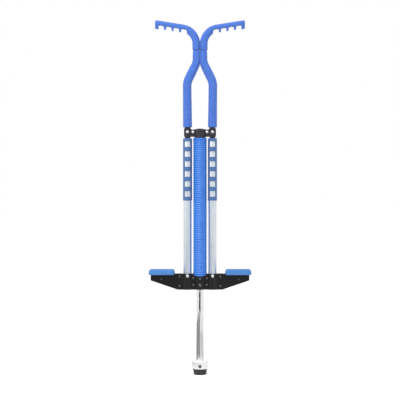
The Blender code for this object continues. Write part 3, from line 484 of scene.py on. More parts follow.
def place_piece(name, bm, material, node, body="frame", modifiers=()):
    """Makes the piece's object from a mesh in millimetres and puts it in its node's place."""
    bmesh.ops.scale(bm, vec=(MM, MM, MM), verts=bm.verts)
    mesh = bpy.data.meshes.new(name)
    bm.to_mesh(mesh)
    bm.free()
    mesh.materials.append(material)
    mesh.shade_smooth()
    mesh.set_sharp_from_angle(angle=SMOOTH_UP_TO)
    piece = bpy.data.objects.new(name, mesh)
    bpy.context.scene.collection.objects.link(piece)
    for kind, settings in modifiers:
        modifier = piece.modifiers.new(kind.lower(), kind)
        for key, value in settings.items():
            setattr(modifier, key, value)
    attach(piece, body)
    # a name that one of the frame's own materials has already taken ends in a number
    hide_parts(node)
    print(f"{name}: {len(mesh.polygons)} faces, rides on {body}")
    return piece


def facing(bm, x, y, z, side):
    """Lays an upright fastener along Y, with its head towards the front or the rear."""
    turn = Matrix.Rotation(math.radians(90 if side == FRONT else -90), 4, "X")
    bmesh.ops.transform(bm, matrix=Matrix.Translation((x, y, z)) @ turn, verts=bm.verts)
    return bm


def span(node):
    """The lowest and highest corner of a node's box, in millimetres."""
    low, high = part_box(node)
    return low / MM, high / MM


def place_ring(name, node, bore, fillets, steps, material, body="frame"):
    """A plain ring that fills its node's box, with a fillet for each corner from the outer top down."""
    low, high = span(node)
    corners = ((high.x, high.z), (high.x, low.z), (bore, low.z), (bore, high.z))
    profile = [(*corner, fillet) for corner, fillet in zip(corners, fillets)]
    place_piece(name, turned(profile, steps), material, node, body)


def broken_edges(width, degrees):
    """A modifier that bevels every edge sharper than an angle."""
    limit = math.radians(degrees)
    settings = {"width": width * MM, "segments": 2, "limit_method": "ANGLE", "angle_limit": limit}
    return "BEVEL", settings


def mirrored(bm, side):
    """A mesh made for the right side, turned over for the left one."""
    if side < 0:
        bmesh.ops.scale(bm, vec=(-1.0, 1.0, 1.0), verts=bm.verts)
        bmesh.ops.recalc_face_normals(bm, faces=bm.faces)
    return bm


# %% [markdown]
# ## The foot
# The foot takes all the wear: a rubber tip with a grooved sole, clamped under a heavy chromed
# collar, with one bolt right through. All of them are round, so each is a turned profile. Broad
# fillets on the collar matter most, because chrome shows its edges as bright lines.

# %% Rubber tip and collar
PISTON_FIT = 11.3
TIP_FLOOR = 8.0
TIP_TOP = 17.0
TIP_NECK_R = 15.0
TIP_FOOT_R = 18.0
TIP_BAND = 3.6
COLLAR_FLOOR = 34.3


def make_tip():
    low, high = span("rubber_tip")
    top_r = high.x
    sole = []
    for groove_r in (5.0, 9.5, 14.0):
        sole += [
            (groove_r - 1.4, low.z),
            (groove_r - 0.7, low.z + 1.5, 0.3),
            (groove_r + 0.7, low.z + 1.5, 0.3),
            (groove_r + 1.4, low.z),
        ]
    profile = [(0.0, low.z)] + sole + [(TIP_FOOT_R - 0.6, low.z, 2.2)]
    for band in range(3):
        z = 5.5 + band * TIP_BAND
        r = TIP_FOOT_R + (top_r - TIP_FOOT_R) * z / TIP_TOP
        profile += [(r, z, 0.2), (r - 0.5, z + 0.5, 0.2), (r - 0.4, z + 1.0, 0.2), (r + 0.2, z + 1.5, 0.2)]
    profile += [(top_r, TIP_TOP, 1.2), (TIP_NECK_R, TIP_TOP), (TIP_NECK_R, high.z)]
    profile += [(PISTON_FIT, high.z), (PISTON_FIT, TIP_FLOOR), (0.0, TIP_FLOOR)]
    place_piece("tip", turned(profile, 96, ring=False), BLACK_RUBBER, "rubber_tip", "piston")


def make_collar():
    low, high = span("foot_collar")
    wide = high.x
    profile = [
        (PISTON_FIT, high.z, 0.6),
        (wide - 4.0, high.z, 0.6),
        (wide, high.z - 2.2, 2.0),
        (wide, low.z + 3.0, 0.5),
        (wide - 0.5, low.z + 2.6, 0.3),
        (wide - 0.5, low.z, 0.7),
        (TIP_NECK_R + 0.3, low.z),
        (TIP_NECK_R + 0.3, COLLAR_FLOOR),
        (PISTON_FIT, COLLAR_FLOOR),
    ]
    place_piece("collar", turned(profile, 96), SATIN_CHROME, "foot_collar", "piston")


make_tip()
make_collar()


# %% [markdown]
# ### Fasteners
# A domed bolt head is a quarter ellipse spun about its shaft. A button screw also has a hexagonal
# socket, so its head is a loft from round rings to six-sided ones. A nut is lofted the same way, and
# its corners are cut back by a cone, which is where a nut's curved chamfer comes from.

# %% Fastener shapes
RING_ANGLES = [2 * math.pi * index / 36 for index in range(36)]
THREAD_PITCH = 0.8
THREAD_DEPTH = 0.35
THREAD_LENGTH = 8.0
DOME_REACH = math.radians(82)
SOCKET_HEAD_FROM = math.radians(35)
SOCKET_HEAD_SWEEP = math.radians(50)
SOCKET_HEAD_SWELL = 1.18


def circle_points(radius, z):
    return [(radius * math.cos(angle), radius * math.sin(angle), z) for angle in RING_ANGLES]


def hexagon_points(flats, z, limit=math.inf):
    """A hexagon by its half width over flats. The limit is a radius that cuts its corners."""
    points = []
    for angle in RING_ANGLES:
        from_flat = (angle % math.radians(60)) - math.radians(30)
        radius = min(flats / math.cos(from_flat), limit)
        points.append((radius * math.cos(angle), radius * math.sin(angle), z))
    return points


def nut(corner_r, height, bore):
    """A chamfered nut that stands on z = 0."""
    flats = corner_r * math.cos(math.radians(30))
    chamfer = 0.12 * height
    rings = [
        circle_points(bore, 0.4),
        circle_points(bore + 0.4, 0.0),
        hexagon_points(flats - 0.2, 0.0, flats),
        hexagon_points(flats, chamfer, flats * 1.1),
        hexagon_points(flats, 2.5 * chamfer),
        hexagon_points(flats, height - 2.5 * chamfer),
        hexagon_points(flats, height - chamfer, flats * 1.1),
        hexagon_points(flats - 0.2, height, flats),
        circle_points(bore + 0.4, height),
        circle_points(bore, height - 0.4),
    ]
    return lofted(rings, joined=True)


def thread(shaft_r, start, end):
    """Profile corners of a thread between two depths below the head."""
    corners = []
    for turn in range(int((end - start) / THREAD_PITCH)):
        corners.append((shaft_r, -start - turn * THREAD_PITCH))
        corners.append((shaft_r - THREAD_DEPTH, -start - (turn + 0.5) * THREAD_PITCH))
    return corners


def dome(radius, base, height, steps, reach):
    """Profile corners of a domed head, from its crown to close above its rim."""
    angles = [reach * step / steps for step in range(steps + 1)]
    return [(radius * math.sin(angle), base + height * math.cos(angle)) for angle in angles]


def domed_bolt(head_r, head_h, shaft_r, length):
    """A round-headed bolt with its head's underside at z = 0 and a threaded, chamfered end."""
    profile = dome(head_r, 0.0, head_h, 7, DOME_REACH)
    profile += [(head_r, 0.0, 0.15), (shaft_r, 0.0)]
    profile += thread(shaft_r, length - THREAD_LENGTH, length - 1.0)
    profile += [(shaft_r, 0.8 - length), (shaft_r - 0.6, -length), (0.0, -length)]
    return turned(profile, 40, ring=False)


def socket_screw(head_r, head_h, socket, shaft_r, length):
    """A button-headed screw with a hexagonal socket half as deep as its head."""
    floor = 0.45 * head_h
    rings = [hexagon_points(socket, floor), hexagon_points(socket, head_h - 0.25)]
    rings.append(hexagon_points(socket + 0.25, head_h))
    for step in range(5):
        angle = SOCKET_HEAD_FROM + SOCKET_HEAD_SWEEP * step / 4
        rings.append(circle_points(head_r * math.sin(angle), head_h * math.cos(angle) * SOCKET_HEAD_SWELL))
    rings += [circle_points(head_r, 0.0), circle_points(shaft_r, 0.0), circle_points(shaft_r, -length)]
    return lofted(rings)


# %% Foot bolt and nut
def make_foot_bolt():
    low, high = span("foot_bolt")
    z = (low.z + high.z) / 2
    seat = span("foot_collar")[1].x + 0.3
    bolt = facing(socket_screw(4.8, -seat - low.y, 1.9, 2.5, high.y + seat), 0.0, -seat, z, FRONT)
    place_piece("foot_cross_bolt", bolt, DARK_STEEL, "foot_bolt", "piston")
    lock = facing(nut(4.6, 3.8, 2.8), 0.0, seat, z, REAR)
    place_piece("foot_cross_nut", lock, DARK_STEEL, "foot_nut", "piston")


make_foot_bolt()


# %% [markdown]
# ## The piston and what it carries
# A 22 mm tube, chromed so that it slides, runs from the foot to a nylon guide under the spring. Near
# its middle a stop collar is pinned on, and a rubber buffer takes its knock when the foot drops. All
# of these are turned. They are hidden, but a cut-away would show them, so they are modelled in full.

# %% Piston tube and guide
PISTON_WALL = 2.4
GUIDE_HEAD_R = 9.8
GUIDE_HEAD_H = 6.0
GUIDE_SHANK_R = 8.3


def make_guide():
    low, high = span("piston_top_guide")
    wide = high.x
    head_z = span("piston_tube")[1].z + 0.3
    spring_z = high.z - GUIDE_HEAD_H
    profile = [(0.0, high.z), (GUIDE_HEAD_R, high.z, 1.2), (GUIDE_HEAD_R, spring_z), (wide, spring_z, 0.6)]
    for groove_z in (spring_z - 5.0, spring_z - 10.0):
        profile += [
            (wide, groove_z + 1.0),
            (wide - 0.8, groove_z + 0.8, 0.3),
            (wide - 0.8, groove_z - 0.8, 0.3),
            (wide, groove_z - 1.0),
        ]
    profile += [(wide, head_z, 0.6), (GUIDE_SHANK_R, head_z), (GUIDE_SHANK_R, low.z, 1.0), (0.0, low.z)]
    place_piece("guide", turned(profile, 64, ring=False), NYLON, "piston_top_guide", "piston")


piston_bore = span("piston_tube")[1].x - PISTON_WALL
place_ring("piston", "piston_tube", piston_bore, (0.8, 0.8, 0.4, 0.4), 96, CHROME, "piston")
make_guide()


# %% Stop collar, pin and buffer
BUFFER_BORE = 11.6


def make_stop_pin():
    low, high = span("stop_pin")
    middle = (low.z + high.z) / 2
    pin_r = (high.z - low.z) / 2
    pin = turned([(0.0, high.x), (pin_r, high.x, 0.4), (pin_r, low.x, 0.4), (0.0, low.x)], 24, ring=False)
    lay = Matrix.Translation((0.0, 0.0, middle)) @ Matrix.Rotation(math.radians(90), 4, "Y")
    bmesh.ops.transform(pin, matrix=lay, verts=pin.verts)
    place_piece("stop_cross_pin", pin, DARK_STEEL, "stop_pin", "piston")


place_ring("stop_ring", "stop_collar", PISTON_FIT, (0.8, 0.8, 0.4, 0.4), 64, ZINC, "piston")
make_stop_pin()
place_ring("buffer", "rebound_buffer", BUFFER_BORE, (1.6, 0.5, 0.5, 1.0), 64, BLACK_RUBBER)


# %% [markdown]
# ### Spring
# A coil is a small circle carried along a helix, so it is a loft through a ring at each step of the
# way. The rise is small in the first and last turns, which lie shut, and larger in between. The
# spring stays with the frame.

# %% Spring
WIRE_R = 2.1
TURNS = 16
SHUT_RISE = 4.6
WIRE_SIDES = 14
STEPS_PER_TURN = 40


def make_spring():
    low, high = span("spring")
    mean_r = high.x - WIRE_R
    open_rise = (high.z - low.z - 2 * WIRE_R - 2 * SHUT_RISE) / (TURNS - 2)
    rings = []
    for step in range(TURNS * STEPS_PER_TURN + 1):
        turn = step / STEPS_PER_TURN
        shut = min(turn, 1.0) + max(turn - (TURNS - 1), 0.0)
        opened = min(max(turn - 1.0, 0.0), TURNS - 2)
        z = low.z + WIRE_R + shut * SHUT_RISE + opened * open_rise
        angle = 2 * math.pi * turn
        outward = Vector((math.cos(angle), math.sin(angle), 0.0))
        middle = outward * mean_r + Vector((0.0, 0.0, z))
        ring = []
        for side in range(WIRE_SIDES):
            around = 2 * math.pi * side / WIRE_SIDES
            lift = Vector((0.0, 0.0, WIRE_R * math.sin(around)))
            ring.append(middle + outward * (WIRE_R * math.cos(around)) + lift)
        rings.append(ring)
    spring = place_piece("coil_spring", lofted(rings), SPRING_STEEL, "spring")
    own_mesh(spring)


make_spring()


# %% [markdown]
# ## The housing
# The spring works in a steel tube. A nylon bushing plugs its foot and reaches down between the
# footrest's plates, and a moulded cap plugs its top, under a steel washer for the spring. The cap's
# dome shows in the middle of the upper bracket.

# %% Housing parts
HOUSING_WALL = 1.5
WASHER_BORE = 6.0
PLUG_R = 15.7
BUSHING_FLANGE = 4.7
BUSHING_FOOT_R = 12.9
CAP_R = 14.7
CAP_FLANGE = (690.3, 693.5)


def make_bushing():
    low, high = span("lower_bushing")
    flange_z = span("spring_housing")[0].z - 0.3
    profile = [
        (PLUG_R, high.z, 0.6),
        (PLUG_R, flange_z),
        (high.x, flange_z, 0.4),
        (high.x, flange_z - BUSHING_FLANGE, 0.6),
        (BUSHING_FOOT_R, flange_z - BUSHING_FLANGE, 0.6),
        (BUSHING_FOOT_R, low.z, 1.0),
        (PISTON_FIT, low.z, 0.5),
        (PISTON_FIT, high.z, 0.8),
    ]
    place_piece("bushing", turned(profile, 96), NYLON, "lower_bushing")


def make_cap():
    low, high = span("housing_cap")
    crown = high.z + 1.2
    shoulder = crown - 4.0
    flange_foot, flange_top = CAP_FLANGE
    profile = [(0.0, crown), (5.0, crown - 0.3, 12.0), (11.0, crown - 1.4, 8.0), (CAP_R, shoulder, 3.0)]
    profile += [(CAP_R, flange_top), (high.x, flange_top, 0.5), (high.x, flange_foot, 0.3)]
    profile += [(PLUG_R, flange_foot), (PLUG_R, low.z, 0.8), (0.0, low.z)]
    place_piece("top_cap", turned(profile, 96, ring=False), BLACK_PLASTIC, "housing_cap")


housing_bore = span("spring_housing")[1].x - HOUSING_WALL
place_ring("housing", "spring_housing", housing_bore, (0.4, 0.4, 0.4, 0.4), 96, ZINC)
place_ring("spring_washer", "upper_spring_seat", WASHER_BORE, (0.5, 0.5, 0.5, 0.5), 64, ZINC)
make_bushing()
make_cap()


# %% [markdown]
# ### Ribbed cover
# The bright cover has some sixty round ribs at one pitch, a plain bead at its top and a hem that
# curves down in the middle like a bib. The ribs are one profile, spun. The curve is made after that,
# by lifting the sides of its foot by the ellipse's height, and less and less further up.

# %% Ribbed cover
RIB_PITCH = 6.3
RIB_DEPTH = 1.8
RIB_PROUD = 0.6
RIB_RISE = ((0.0, 1.0), (0.12, 0.86), (0.25, 0.42), (0.38, 0.1))
RIB_SHAPE = (*RIB_RISE, (0.5, 0.0), (0.62, 0.1), (0.75, 0.42), (0.88, 0.86))
HEM = 4.0
BEAD = 3.5
LIP = 7.0
LIP_FADE = 24.0
COVER_WALL = 2.2


def make_ribbed_cover():
    low, high = span("ribbed_sleeve")
    wide = high.x
    bore = wide - COVER_WALL
    profile = [(bore, low.z, 0.4), (wide + 0.3, low.z, 0.8), (wide + 0.3, low.z + HEM, 0.6)]
    ribs_low = low.z + HEM
    ribs = int((high.z - BEAD - ribs_low) / RIB_PITCH)
    pitch = (high.z - BEAD - ribs_low) / ribs
    for rib in range(ribs):
        for along, depth in RIB_SHAPE:
            profile.append((wide + RIB_PROUD - RIB_DEPTH * depth, ribs_low + (rib + along) * pitch))
    profile += [(wide - RIB_DEPTH, high.z - BEAD), (wide + 0.4, high.z - BEAD + 0.6, 0.3)]
    profile += [(wide + 0.4, high.z + 0.6, 1.0), (bore, high.z + 0.6, 0.4)]
    bm = turned(profile, 80)
    for vert in bm.verts:
        height = vert.co.z - low.z
        if height < LIP_FADE:
            across = min(abs(vert.co.x) / (wide + RIB_PROUD), 1.0)
            lift = LIP * (1.0 - math.sqrt(1.0 - across * across))
            vert.co.z += lift * (1.0 - height / LIP_FADE)
    place_piece("ribbed_cover", bm, BLUE_GLOSS, "ribbed_sleeve")
    print(ribs, "ribs at", round(pitch, 2), "mm")


make_ribbed_cover()


# %% [markdown]
# ## Frame tubes and windowed covers
# Two aluminium tubes carry the load. Each wears a thin moulded cover with six rounded windows in
# front and six behind. A cut with a Boolean would leave long thin faces on the curve, so each window
# is drawn flat, as loops that go from its rounded edge out to its cell's straight one. The sheet is
# then wrapped round the tube and given its wall.

# %% Frame tubes
TUBE_WALL = 1.2


def make_frame_tube(hand):
    node = "frame_tube_" + hand
    low, high = span(node)
    middle = (low.x + high.x) / 2
    wide = (high.x - low.x) / 2
    bore = wide - TUBE_WALL
    profile = [(wide, high.z, 0.4), (wide, low.z, 0.4), (bore, low.z, 0.3), (bore, high.z, 0.3)]
    bm = turned(profile, 80)
    bmesh.ops.translate(bm, vec=(middle, 0.0, 0.0), verts=bm.verts)
    place_piece("tube_" + hand, bm, ALUMINIUM, node)


# %% Windowed covers
WINDOW_HALF = (10.7, 8.2)
WINDOW_CORNER = 2.6
WINDOW_TOP = 684.0
WINDOW_PITCH = 29.2
WINDOWS = 6
WALL = 1.15
ACROSS = 24
UPWARD = 12
RIM_RISE = 0.35
FLAT_AT = ((0.2, 0.0), (0.4, 0.0), (0.6, 0.0), (0.8, 0.0), (1.0, 0.0))
RIM_AT = ((0.0, 0.0), (0.05, RIM_RISE), (0.12, RIM_RISE), *FLAT_AT)


def rounded_edge(half, corner, count):
    """Offsets along one straight side from corner to corner, with each corner's half arc."""
    arc_steps = count // 4
    points = []
    for step in range(arc_steps):
        angle = math.radians(45) * (1.0 + step / arc_steps)
        points.append((-half + corner - corner * math.cos(angle), corner - corner * math.sin(angle)))
    straight = count - 2 * arc_steps
    for step in range(straight + 1):
        points.append((-half + corner + 2 * (half - corner) * step / straight, 0.0))
    points += [(-along, inset) for along, inset in reversed(points[:arc_steps])]
    return points


def window_outline():
    """The window's points, side by side, as (along, up) from its middle."""
    half_w, half_h = WINDOW_HALF
    across = rounded_edge(half_w, WINDOW_CORNER, ACROSS)
    upward = rounded_edge(half_h, WINDOW_CORNER, UPWARD)
    top = [(s, half_h - inset) for s, inset in across[:-1]]
    right = [(half_w - inset, -s) for s, inset in upward[:-1]]
    return top + right + [(-s, -z) for s, z in top + right]


def cell_outline(half_w, top, bottom):
    """As many points on the cell's rectangle, evenly spaced along each side."""
    upper = [(-half_w + 2 * half_w * i / ACROSS, top) for i in range(ACROSS)]
    right = [(half_w, top + (bottom - top) * i / UPWARD) for i in range(UPWARD)]
    lower = [(half_w - 2 * half_w * i / ACROSS, bottom) for i in range(ACROSS)]
    left = [(-half_w, bottom + (top - bottom) * i / UPWARD) for i in range(UPWARD)]
    return upper + right + lower + left


def make_window_cover(hand):
    node = "window_sleeve_" + hand
    low, high = span(node)
    middle = (low.x + high.x) / 2
    skin_r = (high.x - low.x) / 2
    quarter = skin_r * math.pi / 2
    window = window_outline()
    bm = bmesh.new()
    for face_angle in (-90.0, 90.0):
        for index in range(WINDOWS):
            centre_z = WINDOW_TOP - WINDOW_HALF[1] - index * WINDOW_PITCH
            top = high.z + 1.0 if index == 0 else centre_z + WINDOW_PITCH / 2
            bottom = low.z if index == WINDOWS - 1 else centre_z - WINDOW_PITCH / 2
            cell = cell_outline(quarter, top - centre_z, bottom - centre_z)
            previous = None
            for share, rise in RIM_AT:
                points = []
                for (ws, wz), (cs, cz) in zip(window, cell):
                    angle = math.radians(face_angle) + (ws + (cs - ws) * share) / skin_r
                    radius = skin_r + rise
                    z = centre_z + wz + (cz - wz) * share
                    points.append((middle + radius * math.cos(angle), radius * math.sin(angle), z))
                loop = edge_loop(bm, points)
                if previous:
                    bmesh.ops.bridge_loops(bm, edges=previous + loop)
                previous = loop
    bmesh.ops.remove_doubles(bm, verts=bm.verts, dist=0.02)
    bmesh.ops.recalc_face_normals(bm, faces=bm.faces)
    wall = [("SOLIDIFY", {"thickness": WALL * MM, "offset": -1.0}), broken_edges(0.25, 60)]
    # the windowed covers wear the darker blue, which is painted shade
    place_piece("window_cover_" + hand, bm, BLUE_SATIN_SHADED, node, modifiers=wall)


for hand in SIDES:
    make_frame_tube(hand)
    make_window_cover(hand)


# %% [markdown]
# ## The footrest
# Two plates, pressed from 2 mm sheet, clasp both tubes and the bushing, and a flange folded out of
# each carries the steps. A press gives every ridge a soft root, so the ridge's height is a formula
# with a smooth join. A grid of points takes that height, and its top and bottom edges follow two
# more formulas. Only where the treads are is the grid folded outwards.

# %% Pressed sheet
PLATE = 2.0
WEB = 7.0
PRESSED_PLATE = [
    ("SOLIDIFY", {"thickness": PLATE * MM, "offset": 0.0, "use_even_offset": True}),
    broken_edges(0.4, 50),
]


def tube_axis():
    """How far the middle of each frame tube is from the middle of the stick."""
    low, high = span("frame_tube_right")
    return (low.x + high.x) / 2


def smooth_max(one, other, softness):
    """The larger of two heights, with a rounded valley where they cross."""
    gap = max(softness - abs(one - other), 0.0) / softness
    return max(one, other) + gap * gap * softness / 4


def pressed_height(x, web, ridges, softness=1.6):
    """How far the sheet's middle stands from the centre plane."""
    height = web
    for centre, radius in ridges:
        inside = radius * radius - (x - centre) ** 2
        if inside > 0.0:
            height = smooth_max(height, math.sqrt(inside), softness)
    return height


def between(x, corners):
    """Height at x on a polyline of (x, z) corners."""
    for (x0, z0), (x1, z1) in zip(corners, corners[1:]):
        if x <= x1:
            return z0 + (z1 - z0) * (x - x0) / (x1 - x0)
    return corners[-1][1]


def pressed_sheet(half, columns, rows, place):
    """A grid over -half..half whose points go to place(x, row). Where that is None, it is cut away."""
    bm = bmesh.new()
    bmesh.ops.create_grid(bm, x_segments=columns, y_segments=rows, size=1.0)
    spare = []
    for vert in bm.verts:
        spot = place(vert.co.x * half, round((vert.co.y + 1.0) / 2 * rows))
        if spot is None:
            spare.append(vert)
        else:
            vert.co = spot
    bmesh.ops.delete(bm, geom=spare, context="VERTS")
    bmesh.ops.recalc_face_normals(bm, faces=bm.faces)
    mark_edges(bm)
    return bm


def mark_edges(bm):
    """Sets the attribute "edge" to 1 along the sheet's rim, where paint rubs thin."""
    layer = bm.verts.layers.float.new("edge")
    for vert in bm.verts:
        vert[layer] = 1.0 if any(edge.is_boundary for edge in vert.link_edges) else 0.0


# %% Footrest plates
TREAD_START = 79.0
TREAD_OUT = 27.0
TREAD_Z = 295.0
FOLD = ((0.5, -1.4), (1.6, -0.4), (3.2, 0.0), (8.0, 0.0), (13.0, 0.0), (TREAD_OUT - WEB, 0.0))
FOLD_FOOT = 293.0
WEB_ROWS = 12
WEB_COLUMNS = 242
WEB_TOP = 296.0
SCOOP_HALF = 20.8
SCOOP_DEPTH = 7.5
WEB_FOOT = [(0.0, 249.0), (65.5, 249.0), (143.0, 275.4), (144.8, 277.4)]


def on_tread(x):
    return abs(x) >= TREAD_START - 0.3


def footrest_top(x):
    """The web's upper edge: scooped under the ribbed cover, and lower where the treads fold out."""
    if on_tread(x):
        return FOLD_FOOT
    if abs(x) < SCOOP_HALF:
        return WEB_TOP - SCOOP_DEPTH * math.sqrt(1.0 - (x / SCOOP_HALF) ** 2)
    return WEB_TOP


def make_footrest(face, side):
    node = "footrest_plate_" + face
    tube_x = tube_axis()
    ridges = [(-tube_x, 13.3), (0.0, 14.2), (tube_x, 13.3)]

    def place(x, row):
        if row > WEB_ROWS:
            out, rise = FOLD[row - WEB_ROWS - 1]
            return Vector((x, side * (WEB + out), TREAD_Z + rise)) if on_tread(x) else None
        bottom = between(abs(x), WEB_FOOT)
        height = bottom + (footrest_top(x) - bottom) * row / WEB_ROWS
        return Vector((x, side * pressed_height(x, WEB, ridges), height))

    bm = pressed_sheet(span(node)[1].x, WEB_COLUMNS, WEB_ROWS + len(FOLD), place)
    place_piece("footrest_" + face, bm, BLACK_PAINT, node, modifiers=PRESSED_PLATE)


for face, side in FACES.items():
    make_footrest(face, side)


# %% [markdown]
# ### What holds the footrest together
# Ten shouldered rivets space the two plates, three button screws hold them to the bushing, and a
# large domed bolt goes through each tube. The rivets' heads were painted over with the plates and
# have rubbed through, so they are dark, and the bolts were fitted after, so they are bright zinc.

# %% Rivets, screws and large bolts
RIVET_SEAT = 8.3
RIVET_HEAD_R = 3.3
RIVET_REACH = math.radians(84)
RIVET_NECK_R = 2.0
RIVET_SHOULDER_R = 4.0
SHOULDER_AT = 5.7
SCREW_SEAT = 15.5
LARGE_BOLT = (5.0, 3.0, 5.6)
LARGE_BOLT_SEAT = 14.6


def make_rivet(node):
    low, high = span(node)
    x = (low.x + high.x) / 2
    z = (low.z + high.z) / 2
    half = dome(RIVET_HEAD_R, RIVET_SEAT, high.y - RIVET_SEAT, 5, RIVET_REACH)
    half += [(RIVET_HEAD_R, RIVET_SEAT, 0.1), (RIVET_NECK_R, RIVET_SEAT)]
    half += [(RIVET_NECK_R, SHOULDER_AT), (RIVET_SHOULDER_R, SHOULDER_AT, 0.3)]
    profile = half + [(corner[0], -corner[1], *corner[2:]) for corner in reversed(half)]
    bm = facing(turned(profile, 32, ring=False), x, 0.0, z, FRONT)
    place_piece(node.replace("footrest_", ""), bm, DARK_STEEL, node)


def make_screw(node, side):
    low, high = span(node)
    tip_y = min(abs(low.y), abs(high.y))
    head_y = max(abs(low.y), abs(high.y))
    bm = socket_screw(3.6, head_y - SCREW_SEAT, 1.5, 1.5, SCREW_SEAT - tip_y)
    facing(bm, 0.0, side * SCREW_SEAT, (low.z + high.z) / 2, side)
    place_piece(node.replace("bushing_", ""), bm, DULL_ZINC, node)


def make_bolt_and_nut(bolt_node, nut_node, seat, sizes):
    """A domed bolt from the front and its nut at the rear. Sizes: head, shaft and nut radius."""
    head_r, shaft_r, nut_r = sizes
    low, high = span(bolt_node)
    x = (low.x + high.x) / 2
    z = (low.z + high.z) / 2
    bolt = facing(domed_bolt(head_r, -seat - low.y, shaft_r, high.y + seat), x, -seat, z, FRONT)
    place_piece(bolt_node.replace("bolt", "dome"), bolt, ZINC, bolt_node)
    nut_low, nut_high = span(nut_node)
    lock = facing(nut(nut_r, nut_high.y - nut_low.y, shaft_r + 0.25), x, seat, z, REAR)
    place_piece(nut_node.replace("nut", "hexagon"), lock, ZINC, nut_node)


for hand in SIDES:
    for number in range(1, 6):
        make_rivet(f"footrest_rivet_{hand}_{number}")
    make_bolt_and_nut("footrest_bolt_" + hand, "footrest_nut_" + hand, LARGE_BOLT_SEAT, LARGE_BOLT)
for face, number in (("front", 1), ("front", 2), ("rear", 1)):
    make_screw(f"bushing_screw_{face}_{number}", FACES[face])


# %% [markdown]
# ## Step pads
# Each pad is a rubber moulding that snaps over its treads. It is a box with a wide lower rim, big
# soft corners and grip ribs on top. A rounded rectangle lofted upwards through a few levels gives
# all of that at once, and the ribs rise from its top as low bars.

# %% Step pads
PAD_RIBS = 9
RIB_INSET = 9.0
PAD_CORNER = 7.5
# inset and height of each level: from the foot up, then down from the top
PAD_FOOT = ((4.2, 1.2), (4.2, 0.0), (2.2, 0.0), (1.5, 0.5), (1.1, 2.2), (0.2, 3.4), (0.0, 4.2), (0.0, 5.6))
PAD_WALL = ((0.3, 6.4), (1.1, 7.2))
PAD_TOP = ((1.3, 2.6), (2.0, 1.2), (3.2, 0.4), (5.0, 0.0))
PAD_RIB = ((2.4, -0.4), (2.2, 0.3), (1.6, 0.8), (0.9, 0.9))


def pad_outline(half_x, half_y, corner, z, centre_x):
    """A rounded rectangle, with eight steps round each corner."""
    signs = ((-1.0, -1.0), (1.0, -1.0), (1.0, 1.0), (-1.0, 1.0))
    corners = [(half_x * along, half_y * across, corner) for along, across in signs]
    return [(centre_x + point.x, point.y, z) for point in eased(corners, closed=True, steps=8)]


def make_pad(hand):
    node = "step_pad_" + hand
    low, high = span(node)
    centre_x = (low.x + high.x) / 2
    half_x = (high.x - low.x) / 2
    half_y = high.y
    foot = low.z + 2.3
    top = high.z - 0.9
    levels = [(inset, foot + rise) for inset, rise in PAD_FOOT + PAD_WALL]
    levels += [(inset, top - drop) for inset, drop in PAD_TOP]
    rings = []
    for inset, z in levels:
        corner = PAD_CORNER - min(inset, 3.0) * 0.6
        rings.append(pad_outline(half_x - inset, half_y - inset, corner, z, centre_x))
    bm = lofted(rings)
    pitch = 2 * (half_x - RIB_INSET) / (PAD_RIBS - 1)
    for rib in range(PAD_RIBS):
        x = centre_x - half_x + RIB_INSET + rib * pitch
        bar = lofted([pad_outline(wide, half_y - 8.5 + wide, wide, top + rise, x) for wide, rise in PAD_RIB])
        rib_mesh = bpy.data.meshes.new("rib")
        bar.to_mesh(rib_mesh)
        bar.free()
        bm.from_mesh(rib_mesh)
        bpy.data.meshes.remove(rib_mesh)
    pad = place_piece("pad_" + hand, bm, PAD_RUBBER, node)


for hand in SIDES:
    make_pad(hand)


# %% [markdown]
# ## Upper bracket
# A smaller pair of plates clasps the necks of both handles and the housing's cap. It is pressed the
# same way as the footrest, with round-cornered lobes at its ends. Four domed bolts close it.

# %% Bracket plates and bolts
BRACKET_WEB = 6.0
BRACKET_ROWS = 14
BRACKET_COLUMNS = 118
LOBE_END = [(47.1, 710.0)]
LOBE_TOP = eased(
    [(0.0, 719.5), (15.6, 719.5), (17.0, 718.8), (26.1, 718.8, 1.6), (27.2, 725.0, 4.5), (47.1, 725.0, 7.0)]
    + LOBE_END
)
LOBE_FOOT = eased(
    [(0.0, 694.0), (15.6, 694.0), (17.4, 698.0), (26.6, 698.0, 2.0), (30.0, 695.0, 3.0), (47.1, 695.0, 7.0)]
    + LOBE_END
)
BRACKET_BOLT = (4.7, 2.5, 4.5)


def make_bracket(face, side):
    node = "bracket_plate_" + face
    tube_x = tube_axis()
    ridges = [(-tube_x, 9.3), (0.0, 16.0), (tube_x, 9.3)]

    def place(x, row):
        bottom = between(abs(x), LOBE_FOOT)
        height = bottom + (between(abs(x), LOBE_TOP) - bottom) * row / BRACKET_ROWS
        return Vector((x, side * pressed_height(x, BRACKET_WEB, ridges, 1.2), height))

    bm = pressed_sheet(span(node)[1].x, BRACKET_COLUMNS, BRACKET_ROWS, place)
    place_piece("bracket_" + face, bm, GREY_PAINT, node, modifiers=PRESSED_PLATE)


for face, side in FACES.items():
    make_bracket(face, side)
for hand in SIDES:
    for place_name, seat in (("inner", 7.3), ("outer", 10.6)):
        end = f"{hand}_{place_name}"
        make_bolt_and_nut("bracket_bolt_" + end, "bracket_nut_" + end, seat, BRACKET_BOLT)


# %% [markdown]
# ## Handles
# Inside each handle is one bent tube. Its moulded socket fits the frame tube, a foam sleeve covers
# its lower bends, and a moulded foam grip covers its crook and its bar. The sleeve is a loft of
# circles along a line with eased corners. Where both sleeves meet they press each other flat.

# %% Sockets
NECK_R = 8.0
NECK_FOOT = 691.5
SOCKET_BORE = 5.8


